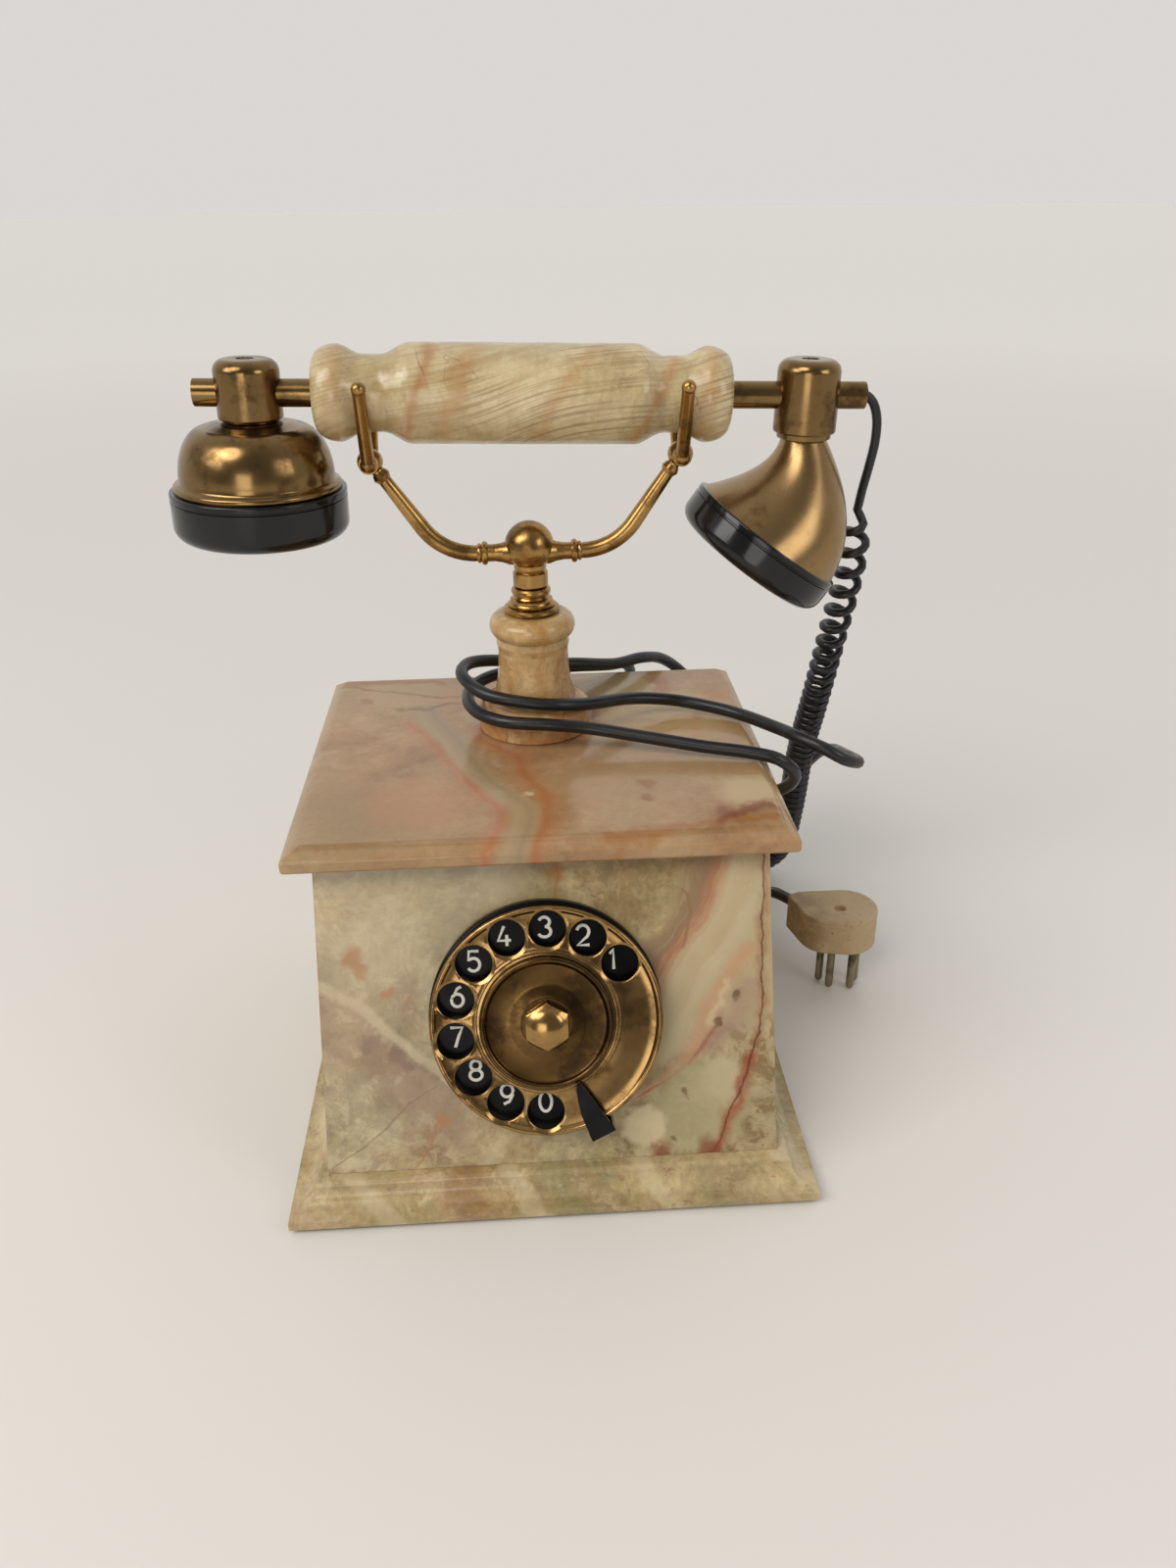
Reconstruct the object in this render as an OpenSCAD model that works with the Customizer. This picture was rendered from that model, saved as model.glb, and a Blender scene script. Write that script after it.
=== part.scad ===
// Table telephone in onyx and brass with a rotary dial.
// Frame: X to the right, Y to the back, Z up; the origin is the middle of the felt's underside.

/* [Plinth] */
// Width of the plinth, left to right
plinth_w = 176; // [168:1:195]
// Depth of the plinth, front to back
plinth_d = 196; // [188:1:215]
// Height of the plinth's stone
plinth_h = 12; // [10:0.5:16]
// Height of the plinth's upright edge
plinth_edge = 3.5; // [2:0.1:5]
// Ledge of the plinth that shows round the body
plinth_ledge = 12.5; // [10:0.5:16]
// Thickness of the felt under the plinth
felt_t = 1.2; // [0.8:0.1:3]
// Margin between the felt and the plinth's edge
felt_margin = 3; // [1:0.5:6]
// Thickness of the steel bottom plate
bottom_t = 2; // [1:0.5:3]

/* [Stone body] */
// Height of the stone body between plinth and lid
body_h = 97; // [90:1:105]
// Lean of the front panel from upright, in degrees
lean = 23; // [18:1:25]
// Thickness of the stone panels
stone_t = 10; // [8:0.5:12]
// Radius of the hole for the dial in the front panel
dial_hole_r = 33; // [30:0.5:34]

/* [Lid] */
// Overhang of the lid past the body, all round
lid_over = 8.7; // [6:0.1:11]
// Thickness of the lid
lid_t = 8.1; // [7:0.1:11]
// Width of the lid's bevel
lid_bevel_w = 5.5; // [3:0.5:8]
// Height of the lid's bevel
lid_bevel_h = 3.5; // [2:0.5:5]

/* [Pillar] */
// Distance of the pillar's axis behind the plinth's middle
pillar_y = 40; // [34:1:46]
// Height of the stone pillar
pillar_h = 45.5; // [40:0.5:55]
// Radius of the pillar's foot
pillar_foot_r = 21.6; // [19:0.1:25]
// Radius of the pillar's waist
pillar_waist_r = 13.2; // [11:0.1:15]
// Radius of the pillar's head
pillar_head_r = 16; // [15:0.1:18]
// Outer radius of the brass tube through the pillar
tube_r = 5; // [4.5:0.1:6]
// Radius of the brass cap on the pillar
cap_r = 10.4; // [9:0.1:11]
// Height of the brass cap on the pillar
cap_h = 10; // [9:0.5:12]

/* [Cradle] */
// Travel of the cradle when the handset is lifted
cradle_travel = 5; // [3:0.5:5]
// Radius of the cradle's ball
ball_r = 8.9; // [8:0.1:10]
// Height of the ball's neck
neck_h = 7; // [6.5:0.5:10]
// Radius of the plunger rod
plunger_r = 3; // [2.5:0.1:3.4]
// Distance of each fork in from the handle's end
fork_in = 16.2; // [15.4:0.2:17.4]
// Height of the knuckles that carry the forks
knuckle_z = 220; // [217:1:226]
// Bend radius of the arms
arm_bend_r = 23; // [20:1:26]
// Radius of the arms at the ball
arm_r = 2.9; // [2.4:0.1:3.1]
// Radius of the arms at the fork
arm_end_r = 2.1; // [1.8:0.1:2.4]
// Radius of the fork's prongs
prong_r = 2.2; // [1.8:0.1:2.4]
// Length of the fork's prongs
prong_len = 30; // [27:0.5:33]
// Angle of the left prongs from upright
left_prong = 26; // [25:0.5:29]
// Angle of the right prongs from upright
right_prong = 31; // [29:0.5:33]
// Inward lean of the prongs, in degrees
prong_lean = 1.5; // [0:0.5:3]

/* [Handset] */
// Radius of the handset's brass rod
rod_r = 4.6; // [4.2:0.1:5]
// Radius of the wire way in the rod
rod_bore_r = 2.5; // [2:0.1:3]
// Half length of the stone handle
handle_half = 70.4; // [69:0.2:72]
// Radius of the handle at its middle
grip_r = 16.5; // [15:0.1:18]
// Radius of the handle's two waists
waist_r = 12.6; // [11.5:0.1:13.5]
// Radius of the handle's end bulbs
bulb_r = 15.8; // [14.5:0.1:17]
// Distance of the earpiece axis from the middle
ear_x = 92.5; // [91:0.5:95]
// Distance of the mouthpiece axis from the middle
mouth_x = 98; // [97:0.2:99]
// Length of rod past the earpiece boss
ear_rod_end = 7; // [5:0.5:10]
// Length of rod past the mouthpiece boss
mouth_rod_end = 9.2; // [7:0.2:12]
// Radius of the two bosses on the rod
boss_r = 10.9; // [10:0.1:12]
// Depth of the brass earpiece shell
ear_depth = 22.5; // [21:0.5:26]
// Rim radius of the earpiece shell
ear_rim_r = 28.6; // [27:0.1:29.5]
// Rim radius of the mouthpiece horn
mouth_rim_r = 28.8; // [27:0.1:29.5]
// Tilt of the mouthpiece
mouth_tilt = 34.5; // [33:0.5:37]
// Wall of the brass shells
shell_t = 1.2; // [0.8:0.1:2]
// Radius of the earpiece cap
ear_cap_r = 30.2; // [30:0.1:32]
// Height of the earpiece cap
ear_cap_h = 16.5; // [15:0.5:22]
// Radius of the mouthpiece cap
mouth_cap_r = 30.4; // [30:0.1:32]
// Height of the mouthpiece cap
mouth_cap_h = 13.5; // [12.5:0.5:16]
// Wall of the two caps
cap_wall = 2.6; // [2:0.1:3.2]
// Radius of the corner of the two caps
cap_round = 5; // [3:0.5:6]

/* [Dial] */
// Height of the dial's middle up the front panel
dial_up = 51.2; // [48:0.2:57]
// Sideways offset of the dial's middle
dial_x = -1; // [-3:0.5:3]
// Radius of the finger wheel
wheel_r = 38; // [36:0.2:40]
// Height of the wheel's rim above the panel
wheel_h = 11; // [10:0.1:12.5]
// Radius of the finger holes
finger_r = 6; // [5.5:0.1:6.2]
// Radius of the ring of finger holes
finger_ring_r = 30.2; // [29:0.1:31]
// Angle of the hole for digit 1
finger_first = 36; // [34:0.5:38]
// Height of the black number plate
plate_h = 5; // [4:0.1:6]
// Radius of the black number plate
plate_r = 38.6; // [37:0.2:40]
// Radius of the hub disc
hub_r = 21.9; // [20:0.1:22.4]
// Width of the hub nut across its flats
hub_nut_af = 13.5; // [12:0.5:16]
// Angle of the finger stop
stop_angle = 294.5; // [292:0.5:300]
// Radius of the dial's shaft
shaft_r = 3; // [2.5:0.1:3.4]
// Teeth of the dial's gear
gear_teeth = 60; // [50:2:60]
// Teeth of the governor's pinion
pinion_teeth = 10; // [9:1:11]
// Module of the gear train
gear_module = 0.7; // [0.6:0.02:0.7]

/* [Ringer] */
// Outer radius of each gong
gong_r = 23.5; // [20:0.5:23.5]
// Height of each gong
gong_h = 16; // [12:0.5:18]
// Distance of each gong from the middle
gong_x = 28; // [28:0.5:30]
// Height of the gongs' rims above the bottom plate
gong_lift = 38; // [34:1:42]
// Radius of the ringer's coils
coil_r = 8; // [6:0.5:9]
// Height of the ringer's coils
coil_h = 26; // [22:1:30]

/* [Plug] */
// Height of the plug's body
plug_t = 16; // [13:0.5:18]
// Radius of the plug's round end
plug_r = 13; // [12:0.5:14]
// Length of the plug's pins
pin_len = 19; // [18:0.5:20]

/* [Hidden] */
$fn = 48;
running = 0.05; // radial clearance of moving fits
slack = 0.1; // radial clearance of assembled fits
soft_gap = 0.3; // gap between parts that only come near each other

onyx_green = [0.80, 0.80, 0.66];
onyx_pink = [0.80, 0.66, 0.55];
brass = [0.72, 0.54, 0.25];
dark_brass = [0.55, 0.45, 0.26];
steel = [0.62, 0.63, 0.64];
black = [0.06, 0.06, 0.07];
copper = [0.72, 0.36, 0.18];
ivory = [0.84, 0.78, 0.66];

// Levels and planes that follow from the sizes above
body_z = felt_t + plinth_h;
lid_z = body_z + body_h;
lid_top = lid_z + lid_t;
body_w = plinth_w - 2 * plinth_ledge;
front_y = -plinth_d / 2 + plinth_ledge;
rear_y = plinth_d / 2 - plinth_ledge;
front_top_y = front_y + body_h * tan(lean);
slope_t = stone_t / cos(lean);
lid_w = body_w + 2 * lid_over;
lid_d = rear_y - front_top_y + 2 * lid_over;
lid_y = (rear_y + front_top_y) / 2;
pillar_top = lid_top + pillar_h;
cap_top = pillar_top + cap_h;
neck_z = cap_top + 0.2;
ball_z = neck_z + neck_h + ball_r - 1.2;
inner_rear_y = rear_y - stone_t;

// Arms, and the forks that the handle rests in
fork_x = handle_half - fork_in;
knuckle_r = 4.5;
arm_z = ball_z - 2.4;
seat_x = 5.5;
collar_len = 13.5;
arm_start_x = seat_x + collar_len;
arm_dx = fork_x - arm_start_x;
arm_dz = knuckle_z - arm_z - arm_bend_r;
arm_reach = norm([arm_dx, arm_dz]);
arm_turn = 90 + atan2(arm_dz, arm_dx) - acos(arm_bend_r / arm_reach);
arm_straight = sqrt(arm_reach * arm_reach - arm_bend_r * arm_bend_r);
prong_foot = 6;
fork_gap = waist_r + prong_r + 0.6;
left_seat = (fork_gap - prong_foot * cos(left_prong)) / sin(left_prong);
right_seat = (fork_gap - prong_foot * cos(right_prong)) / sin(right_prong);
handset_z = knuckle_z + (left_seat + right_seat) / 2;
handset_tilt = atan2(left_seat - right_seat, 2 * fork_x);

// Hook switch under the lid
bracket_t = 1.5;
bracket_rear_y = inner_rear_y - 5;
bracket_front_y = pillar_y - 30;
ledge_z = lid_z - 22 - cradle_travel;
spring_h = 8;
collar_z = ledge_z + bracket_t + spring_h;
plunger_end = ledge_z - 13;
lever_t = 2;
lever_z = plunger_end - soft_gap - lever_t / 2;
lever_pivot_y = bracket_rear_y - 4;

// Dial, measured along the panel's outward normal
pinion_dist = gear_module * (gear_teeth + pinion_teeth) / 2;
governor_angle = 150;
frame_r = dial_hole_r - 0.5;
frame_t = 1.5;
frame_top = -stone_t;
frame_rear = frame_top - 14;
gear_t = 1.5;
gear_n = frame_top - 5;
wheel_under = wheel_h - 2.4;
hub_n = wheel_h + 0.6;
hub_top = hub_n + 1.4;

// Ringer
ringer_z = felt_t + bottom_t;
ringer_t = 2;
gong_z = ringer_z + gong_lift;
gong_y = inner_rear_y - gong_r - 7;
armature_y = -8;
armature_z = ringer_z + ringer_t + coil_h + 2.2;

// Handset, in its own frame: X along the rod, Z up, origin in the middle of the handle
boss_low = 9.1;
mouth_boss_low = 14.3;
ear_rim = -boss_low - ear_depth;
mouth_neck_r = 7.8;
mouth_rim = [mouth_x - 9.5, -mouth_boss_low - 34];
horn_outer = [mouth_x + 25.2, -44.4];
horn_inner = [mouth_x - 9.6, -26.8];
rod_left = -ear_x - boss_r - ear_rod_end;
rod_right = mouth_x + boss_r + mouth_rod_end;
bush_h = 0.8;

// Plug, standing on its pins
plug_centre = [126.6, 26.6];
plug_back = [119.2, 27];
plug_tail = [106.6, 38.4];
plug_tail_w = 5.6;
plug_turn = 118;
plug_entry_z = pin_len + plug_t - 4;

// Cords: route points are places in the frame above
lead_r = 1.65;
coil_cord_r = 6.5;
line_r = 2.4;
lead_route = [[121.5, 40, 235.6], [123.4, 40.3, 230], [123.8, 41.2, 222], [123, 43, 213],
    [122.2, 45.8, 204], [122, 48.5, 196.4]];
coil_route = [[122, 49, 196], [122.6, 54, 172], [121.2, 66, 139], [120, 78, 108], [118, 88, 78],
    [117.6, 96, 46], [115.5, 102, 22], [108, 109, 9.5], [95, 115, 7.5], [80, 119.5, 8.5], [68, 122, 14],
    [59, 121.5, 23.5], [56, 115, 29], [56, 106, 30]];
line_feed = [[20, 106, 30], [20, 113, 29.6], [20, 121, 26.5], [19.6, 129, 20], [18.8, 136, 12.5],
    [17.4, 143, 6], [15.2, 150, 3.1], [12.4, 160, 2.5]];
// The line cord's spare turns lie in a round coil on the table behind the base
spare_centre = [-14, 160];
spare_r = 26.4;
spare_low = 2.5;
spare_high = 16.1;
line_route = [[-14, 133.6, 16.1], [-3, 133.3, 17], [7, 132.2, 21.5], [16, 130, 30],
    [23.5, 127.2, 42], [29, 124, 56], [33, 120.5, 72],
    [40, 111, 94], [43, 102.5, 110], [40, 94, 120], [31, 85, 123.2], [14, 74, 127.5], [-2, 66.5, 129.5],
    [-16, 60, 130.5], [-25, 46, 130.5], [-23.5, 29, 130], [-12.5, 17.5, 129.5], [4.5, 14.5, 128.8],
    [19, 14.2, 127], [40, 9.5, 124.6], [61, 4, 122.5], [76, 0, 121.6], [86.5, -2.5, 119.6],
    [93.5, 0, 112.5], [94, 8, 103.5], [90.5, 18, 95.5], [86.5, 36, 87], [84, 60, 84], [83, 82, 88],
    [77.5, 99, 99], [66, 104, 111], [56, 98.5, 120], [46, 88.5, 124.6], [34, 78, 126.5],
    [17, 67.5, 131.5], [0, 60.5, 134.5], [-14.5, 57, 138], [-25, 48.5, 140.5], [-27, 37, 140],
    [-18, 25.5, 137], [-2.4, 21.6, 134.6], [10, 22.5, 133], [21, 29, 130.3], [35.5, 39.5, 127.2],
    [47.5, 43.6, 125], [60, 43.5, 123], [77, 35.2, 121.6], [90.5, 18, 122.2], [94.5, 9.5, 123.2],
    [99, 4, 122.8], [105, 0.5, 121], [111, 0, 117.5], [116.3, 3.2, 114.3], [119.5, 10, 111.2],
    [123, 40, 99.5], [126.5, 60, 91], [128.5, 78, 83], [128, 93, 74], [124.5, 106, 60], [119.5, 113.5, 45],
    [113.5, 117, 33], [105.5, 116.5, 26], [98.5, 109.5, 22.5], [95, 95, 19.5], [95, 78, 15],
    [96.5, 62, 18.5], [100.5, 50.5, 28]];

// ---------- helpers ----------

// Points of a circular arc in a profile
function arc(cx, cy, rx, ry, a0, a1, n = 8) =
    [for (i = [0:n]) let (a = a0 + (a1 - a0) * i / n) [cx + rx * cos(a), cy + ry * sin(a)]];

// Smooth step from a to b between u0 and u1
function ease(u, u0, u1, a, b) =
    let (t = min(1, max(0, (u - u0) / (u1 - u0)))) a + (b - a) * (0.5 - 0.5 * cos(180 * t));

// A point of a quadratic curve from a to c, drawn towards b
function bend(a, b, c, t) = (1 - t) * (1 - t) * a + 2 * t * (1 - t) * b + t * t * c;

function unit(v) = v / norm(v);
function tangent(p, i) = unit(p[min(i + 1, len(p) - 1)] - p[max(i - 1, 0)]);
function carried(n, t) = unit(n - (n * t) * t);

// Sideways directions along a path, each carried over from the one before
function side_list(p, n0) =
    [for (i = 0, n = carried(n0, tangent(p, 0)); i < len(p);
        i = i + 1, n = i < len(p) ? carried(n, tangent(p, i)) : n) n];

// A tube of radius r along a path of points; the ends are square to the start and end directions
module tube(p, r, sides, start_dir, end_dir) {
    last = len(p) - 1;
    sideways = side_list(p, abs(start_dir[2]) > 0.9 ? [1, 0, 0] : [0, 0, 1]);
    points = [for (i = [0:last]) let (
        t = i == 0 ? start_dir : i == last ? end_dir : tangent(p, i),
        n = carried(sideways[i], t), b = cross(t, n))
        for (k = [0:sides - 1]) p[i] + r * (cos(360 * k / sides) * n + sin(360 * k / sides) * b)];
    walls = [for (i = [0:last - 1], k = [0:sides - 1]) let (k2 = (k + 1) % sides)
        [i * sides + k, (i + 1) * sides + k, (i + 1) * sides + k2, i * sides + k2]];
    polyhedron(points, concat([[for (k = [0:sides - 1]) k]], walls,
        [[for (k = [sides - 1:-1:0]) last * sides + k]]), convexity = 8);
}

// A slab with a moulded edge; the profile lists [inset, height] from bottom to top
module moulded_slab(w, d, profile) {
    function outline(half) = concat([for (p = profile) [half - p[0], p[1]]],
        [for (i = [len(profile) - 1:-1:0]) [profile[i][0] - half, profile[i][1]]]);
    intersection() {
        rotate([90, 0, 0]) linear_extrude(height = d, center = true) polygon(outline(w / 2));
        rotate([90, 0, 90]) linear_extrude(height = w, center = true) polygon(outline(d / 2));
    }
}

// Children drawn on the front panel: the dial's middle, with Z along the panel's outward normal
module on_front() {
    translate([dial_x, front_y + dial_up * sin(lean), body_z + dial_up * cos(lean)])
        rotate([90 - lean, 0, 0]) children();
}

// Children drawn in the handset's frame, as it rests in the forks
module on_handset() {
    translate([0, pillar_y, handset_z]) rotate([0, handset_tilt, 0]) children();
}

// Children drawn at the mouthpiece rim, with Z out of the mouthpiece
module on_mouth() {
    on_handset() translate([mouth_rim[0], 0, mouth_rim[1]]) rotate([0, 180 + mouth_tilt, 0]) children();
}

// A ring between two radii and two heights
module ring(r1, r2, z1, z2) {
    translate([0, 0, z1]) difference() {
        cylinder(r = r2, h = z2 - z1);
        translate([0, 0, -1]) cylinder(r = r1, h = z2 - z1 + 2);
    }
}

// A toothed wheel outline with straight flanks
module toothed(n, m) {
    pitch_r = m * n / 2;
    root = pitch_r - 1.05 * m;
    tip = pitch_r + 0.65 * m;
    wide = 360 / n * 0.27;
    thin = 360 / n * 0.13;
    polygon([for (i = [0:n - 1], q = [[-wide, root], [-thin, tip], [thin, tip], [wide, root]])
        let (a = 360 * i / n + q[0]) q[1] * [cos(a), sin(a)]]);
}

// ---------- stone body ----------

cavity_w = body_w - 2 * stone_t;
cavity_front = front_y + slope_t;
cavity_d = inner_rear_y - cavity_front;
cavity_y = (inner_rear_y + cavity_front) / 2;
plate_rim = 6;
screw_in = 3;
screw_places = [for (sx = [-1, 1], sy = [-1, 1])
    [sx * (cavity_w / 2 + screw_in), cavity_y + sy * (cavity_d / 2 + screw_in)]];

module plinth() {
    color(onyx_green) difference() {
        translate([0, 0, felt_t]) moulded_slab(plinth_w, plinth_d, concat(
            [[0.6, 0], [0, 0.6], [0, plinth_edge]],
            [for (p = arc(0, plinth_h * 0.78, 8, plinth_h * 0.78 - plinth_edge, -90, 0, 6))
                [0.4 + p[0], p[1]]],
            [[8.4, plinth_h - 1.8]],
            [for (p = arc(plinth_ledge - 1.2, plinth_h - 1.8, plinth_ledge - 9.6, 1.8, 180, 90, 5)) p],
            [[plinth_ledge + 2, plinth_h]]));
        translate([0, cavity_y, 0]) cube([cavity_w - 8, cavity_d - 8, 60], center = true);
        translate([0, cavity_y, felt_t]) cube([cavity_w + 2 * plate_rim + 2 * slack,
            cavity_d + 2 * plate_rim + 2 * slack, 2 * bottom_t], center = true);
        for (p = screw_places)
            translate([p[0], p[1], 0]) cylinder(r = 1.6, h = felt_t + bottom_t + 5);
    }
}

module base_felt() {
    color([0.10, 0.22, 0.14]) difference() {
        translate([0, 0, felt_t / 2]) cube([plinth_w - 2 * felt_margin, plinth_d - 2 * felt_margin, felt_t],
            center = true);
        for (p = screw_places)
            translate([p[0], p[1], -1]) cylinder(r = 4, h = felt_t + 2);
    }
}

module bottom_plate() {
    color(steel) difference() {
        translate([0, cavity_y, felt_t + bottom_t / 2])
            cube([cavity_w + 2 * plate_rim, cavity_d + 2 * plate_rim, bottom_t], center = true);
        for (p = screw_places)
            translate([p[0], p[1], 0]) cylinder(r = 1.7, h = felt_t + bottom_t + 1);
    }
}

module base_screws() {
    color(steel) for (p = screw_places) translate([p[0], p[1], felt_t]) {
        cylinder(r = 1.5, h = bottom_t + 4.5);
        difference() {
            translate([0, 0, -1]) cylinder(r = 3, h = 1);
            translate([0, 0, -1.4]) cube([8, 0.8, 1.6], center = true);
        }
    }
}

module front_panel() {
    color(onyx_green) difference() {
        rotate([90, 0, 90]) linear_extrude(height = body_w, center = true)
            polygon([[front_y, body_z], [front_top_y, lid_z], [front_top_y + slope_t, lid_z],
                [front_y + slope_t, body_z]]);
        on_front() translate([0, 0, -2 * stone_t]) cylinder(r = dial_hole_r, h = 4 * stone_t);
    }
}

module side_panel(side) {
    color(onyx_green) translate([side * (body_w - stone_t) / 2, 0, 0])
        rotate([90, 0, 90]) linear_extrude(height = stone_t, center = true)
            polygon([[front_y + slope_t, body_z], [front_top_y + slope_t, lid_z], [inner_rear_y, lid_z],
                [inner_rear_y, body_z]]);
}

module left_panel() {
    side_panel(-1);
}

module right_panel() {
    side_panel(1);
}

gland_x = cavity_w / 2 - 9.5;
line_x = 20;
gland_z = 30;
gland_r = 4;

module rear_panel() {
    color(onyx_green) difference() {
        translate([-body_w / 2, inner_rear_y, body_z]) cube([body_w, stone_t, body_h]);
        for (x = [gland_x, line_x])
            translate([x, rear_y + 1, gland_z]) rotate([90, 0, 0])
                cylinder(r = gland_r + slack, h = stone_t + 2);
    }
}

module top_lid() {
    color(onyx_pink) difference() {
        translate([0, lid_y, lid_z]) moulded_slab(lid_w, lid_d,
            [[0.8, 0], [0, 0.8], [0, lid_t - lid_bevel_h], [lid_bevel_w, lid_t]]);
        translate([0, pillar_y, lid_z - 1]) cylinder(r = tube_r + slack, h = lid_t + 2);
    }
}

// ---------- pillar ----------

module pillar() {
    bore = tube_r + slack;
    foot_round = 4.8;
    head_z = pillar_h - 4.8;
    color(onyx_pink) translate([0, pillar_y, lid_top]) rotate_extrude() polygon(concat(
        [[bore, 0], [pillar_foot_r - 0.8, 0], [pillar_foot_r, 0.8]],
        arc(pillar_foot_r - foot_round, 6.5, foot_round, foot_round, 0, 90, 8),
        [for (i = [0:8]) let (t = i / 8) [
            pillar_waist_r + (pillar_foot_r - foot_round - 1 - pillar_waist_r) * pow(1 - t, 2.4),
            11.8 + t * (pillar_h - 11.8 - 14)]],
        [[pillar_waist_r + 0.5, pillar_h - 11.5]],
        arc(pillar_head_r - 4.8, head_z, 4.8, 4.8, -62, 80, 10),
        [[cap_r + 1, pillar_h], [bore, pillar_h]]));
}

module pillar_tube() {
    color(brass) translate([0, pillar_y, 0]) ring(plunger_r + 0.4, tube_r, lid_z - 10, pillar_top + 3);
}

module tube_nut() {
    color(steel) translate([0, pillar_y, lid_z - bracket_t - 5]) difference() {
        cylinder(r = 9.8, h = 5, $fn = 6);
        translate([0, 0, -1]) cylinder(r = tube_r, h = 7);
    }
}

module pillar_cap() {
    ring_r = 7.3;
    color(brass) translate([0, pillar_y, pillar_top]) difference() {
        rotate_extrude() polygon(concat(
            [[0, 0], [cap_r - 0.8, 0]], arc(cap_r - 1.3, 1.3, 1.3, 1.3, -60, 90, 5),
            [[cap_r - 2, 2.7]], arc(cap_r + 0.4, 5, 3, 2.2, 230, 175, 4),
            [[ring_r - 0.9, 5.8]], arc(ring_r - 1.4, cap_h - 1.8, 1.4, 1.6, -90, 90, 6), [[0, cap_h]]));
        translate([0, 0, -1]) cylinder(r = tube_r, h = 4);
        cylinder(r = plunger_r + running, h = 2 * cap_h);
    }
}

// ---------- cradle ----------

module cradle_ball() {
    color(brass) translate([0, pillar_y, 0]) difference() {
        union() {
            translate([0, 0, ball_z]) sphere(r = ball_r);
            translate([0, 0, neck_z]) rotate_extrude() polygon(concat([[0, 0], [6.1, 0]],
                [[6.4, 0.4], [6.4, 5], [5.6, 5.6], [5.9, neck_h - 0.4]],
                [[5.9, neck_h + 2], [0, neck_h + 2]]));
        }
        for (s = [-1, 1])
            translate([s * (seat_x + 5), 0, arm_z]) rotate([0, 90, 0])
                cylinder(r = 4.6, h = 10, center = true);
    }
}

// One arm with its collar, knuckle and two prongs; side is 1 on the right
module arm(side, prong_angle) {
    color(brass) translate([0, pillar_y, 0]) mirror([side < 0 ? 1 : 0, 0, 0]) {
        translate([seat_x, 0, arm_z]) rotate([0, 90, 0]) rotate_extrude() polygon(concat(
            [[0, 0], [4.5, 0], [4.5, 1.8], [3.6, 4.2], [3.1, 7]],
            [[3.1, 9.4]], arc(3.1, 10.7, 1.2, 1.2, -90, 90, 5), arc(3.1, 12.6, 0.5, 0.6, -90, 90, 4),
            [[arm_r, collar_len], [0, collar_len]]));
        translate([arm_start_x, 0, arm_z + arm_bend_r]) rotate([90, 0, 0]) rotate([0, 0, -90])
            rotate_extrude(angle = arm_turn) translate([arm_bend_r, 0]) circle(r = arm_r);
        translate([fork_x, 0, knuckle_z]) rotate([0, 90 - arm_turn, 0]) {
            translate([0, 0, -arm_straight]) cylinder(r1 = arm_r, r2 = arm_end_r, h = arm_straight);
            translate([0, 0, -8]) cylinder(r1 = 2.4, r2 = 3.2, h = 1.6);
            translate([0, 0, -6.4]) cylinder(r1 = 3.2, r2 = 2.6, h = 1.8);
        }
        translate([fork_x, 0, knuckle_z]) {
            sphere(r = knuckle_r);
            rotate([90, 0, 0]) cylinder(r = 3.3, h = 2 * prong_foot, center = true);
        }
        for (s = [-1, 1]) translate([fork_x, s * prong_foot, knuckle_z])
            rotate([-s * prong_angle, -prong_lean, 0]) {
                sphere(r = 2.9);
                cylinder(r1 = prong_r + 0.2, r2 = prong_r, h = prong_len);
                translate([0, 0, prong_len]) sphere(r = prong_r + 0.2);
            }
    }
}

module left_arm() {
    arm(-1, left_prong);
}

module right_arm() {
    arm(1, right_prong);
}

module plunger_rod() {
    color(steel) translate([0, pillar_y, 0]) {
        translate([0, 0, plunger_end]) cylinder(r = plunger_r, h = neck_z - plunger_end);
        translate([0, 0, collar_z]) cylinder(r = plunger_r + 3.5, h = 2);
    }
}

module hook_spring() {
    turns = 4;
    wire_r = 0.6;
    mean_r = plunger_r + 1.6;
    low = ledge_z + bracket_t + wire_r;
    rise = spring_h - 2 * wire_r;
    path = [for (i = [0:12 * turns]) [mean_r * cos(30 * i), pillar_y + mean_r * sin(30 * i),
        low + rise * i / (12 * turns)]];
    color(steel) tube(path, wire_r, 6, [0, 1, 0], [0, 1, 0]);
}

module hook_lever() {
    tip_y = bracket_front_y + 1;
    color(brass) difference() {
        union() {
            translate([-4, tip_y, lever_z - lever_t / 2]) cube([8, lever_pivot_y - tip_y, lever_t]);
            translate([0, lever_pivot_y, lever_z]) rotate([0, 90, 0]) cylinder(r = 2.6, h = 8, center = true);
        }
        translate([0, lever_pivot_y, lever_z]) rotate([0, 90, 0])
            cylinder(r = 1.2 + running, h = 10, center = true);
    }
}

module hook_bracket() {
    lug_top = ledge_z + bracket_t;
    color(steel) difference() {
        union() {
            translate([-11, bracket_front_y, lid_z - bracket_t])
                cube([22, bracket_rear_y - bracket_front_y + bracket_t, bracket_t]);
            translate([-11, bracket_rear_y, lever_z - 4]) cube([22, bracket_t, lid_z - lever_z + 4]);
            translate([-9, pillar_y - 8, ledge_z])
                cube([18, bracket_rear_y - pillar_y + 8 + bracket_t, bracket_t]);
            for (s = [-1, 1]) translate([s * 5.4 - 0.75, lever_pivot_y - 4, lever_z - 4])
                cube([1.5, bracket_rear_y - lever_pivot_y + 5, lug_top - lever_z + 4]);
            translate([0, lever_pivot_y, lever_z]) rotate([0, 90, 0])
                cylinder(r = 1.2, h = 12, center = true);
        }
        translate([0, pillar_y, ledge_z - 1]) cylinder(r = plunger_r + running, h = bracket_t + 2);
        translate([0, pillar_y, lid_z - bracket_t - 1]) cylinder(r = tube_r + slack, h = bracket_t + 2);
    }
}

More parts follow.
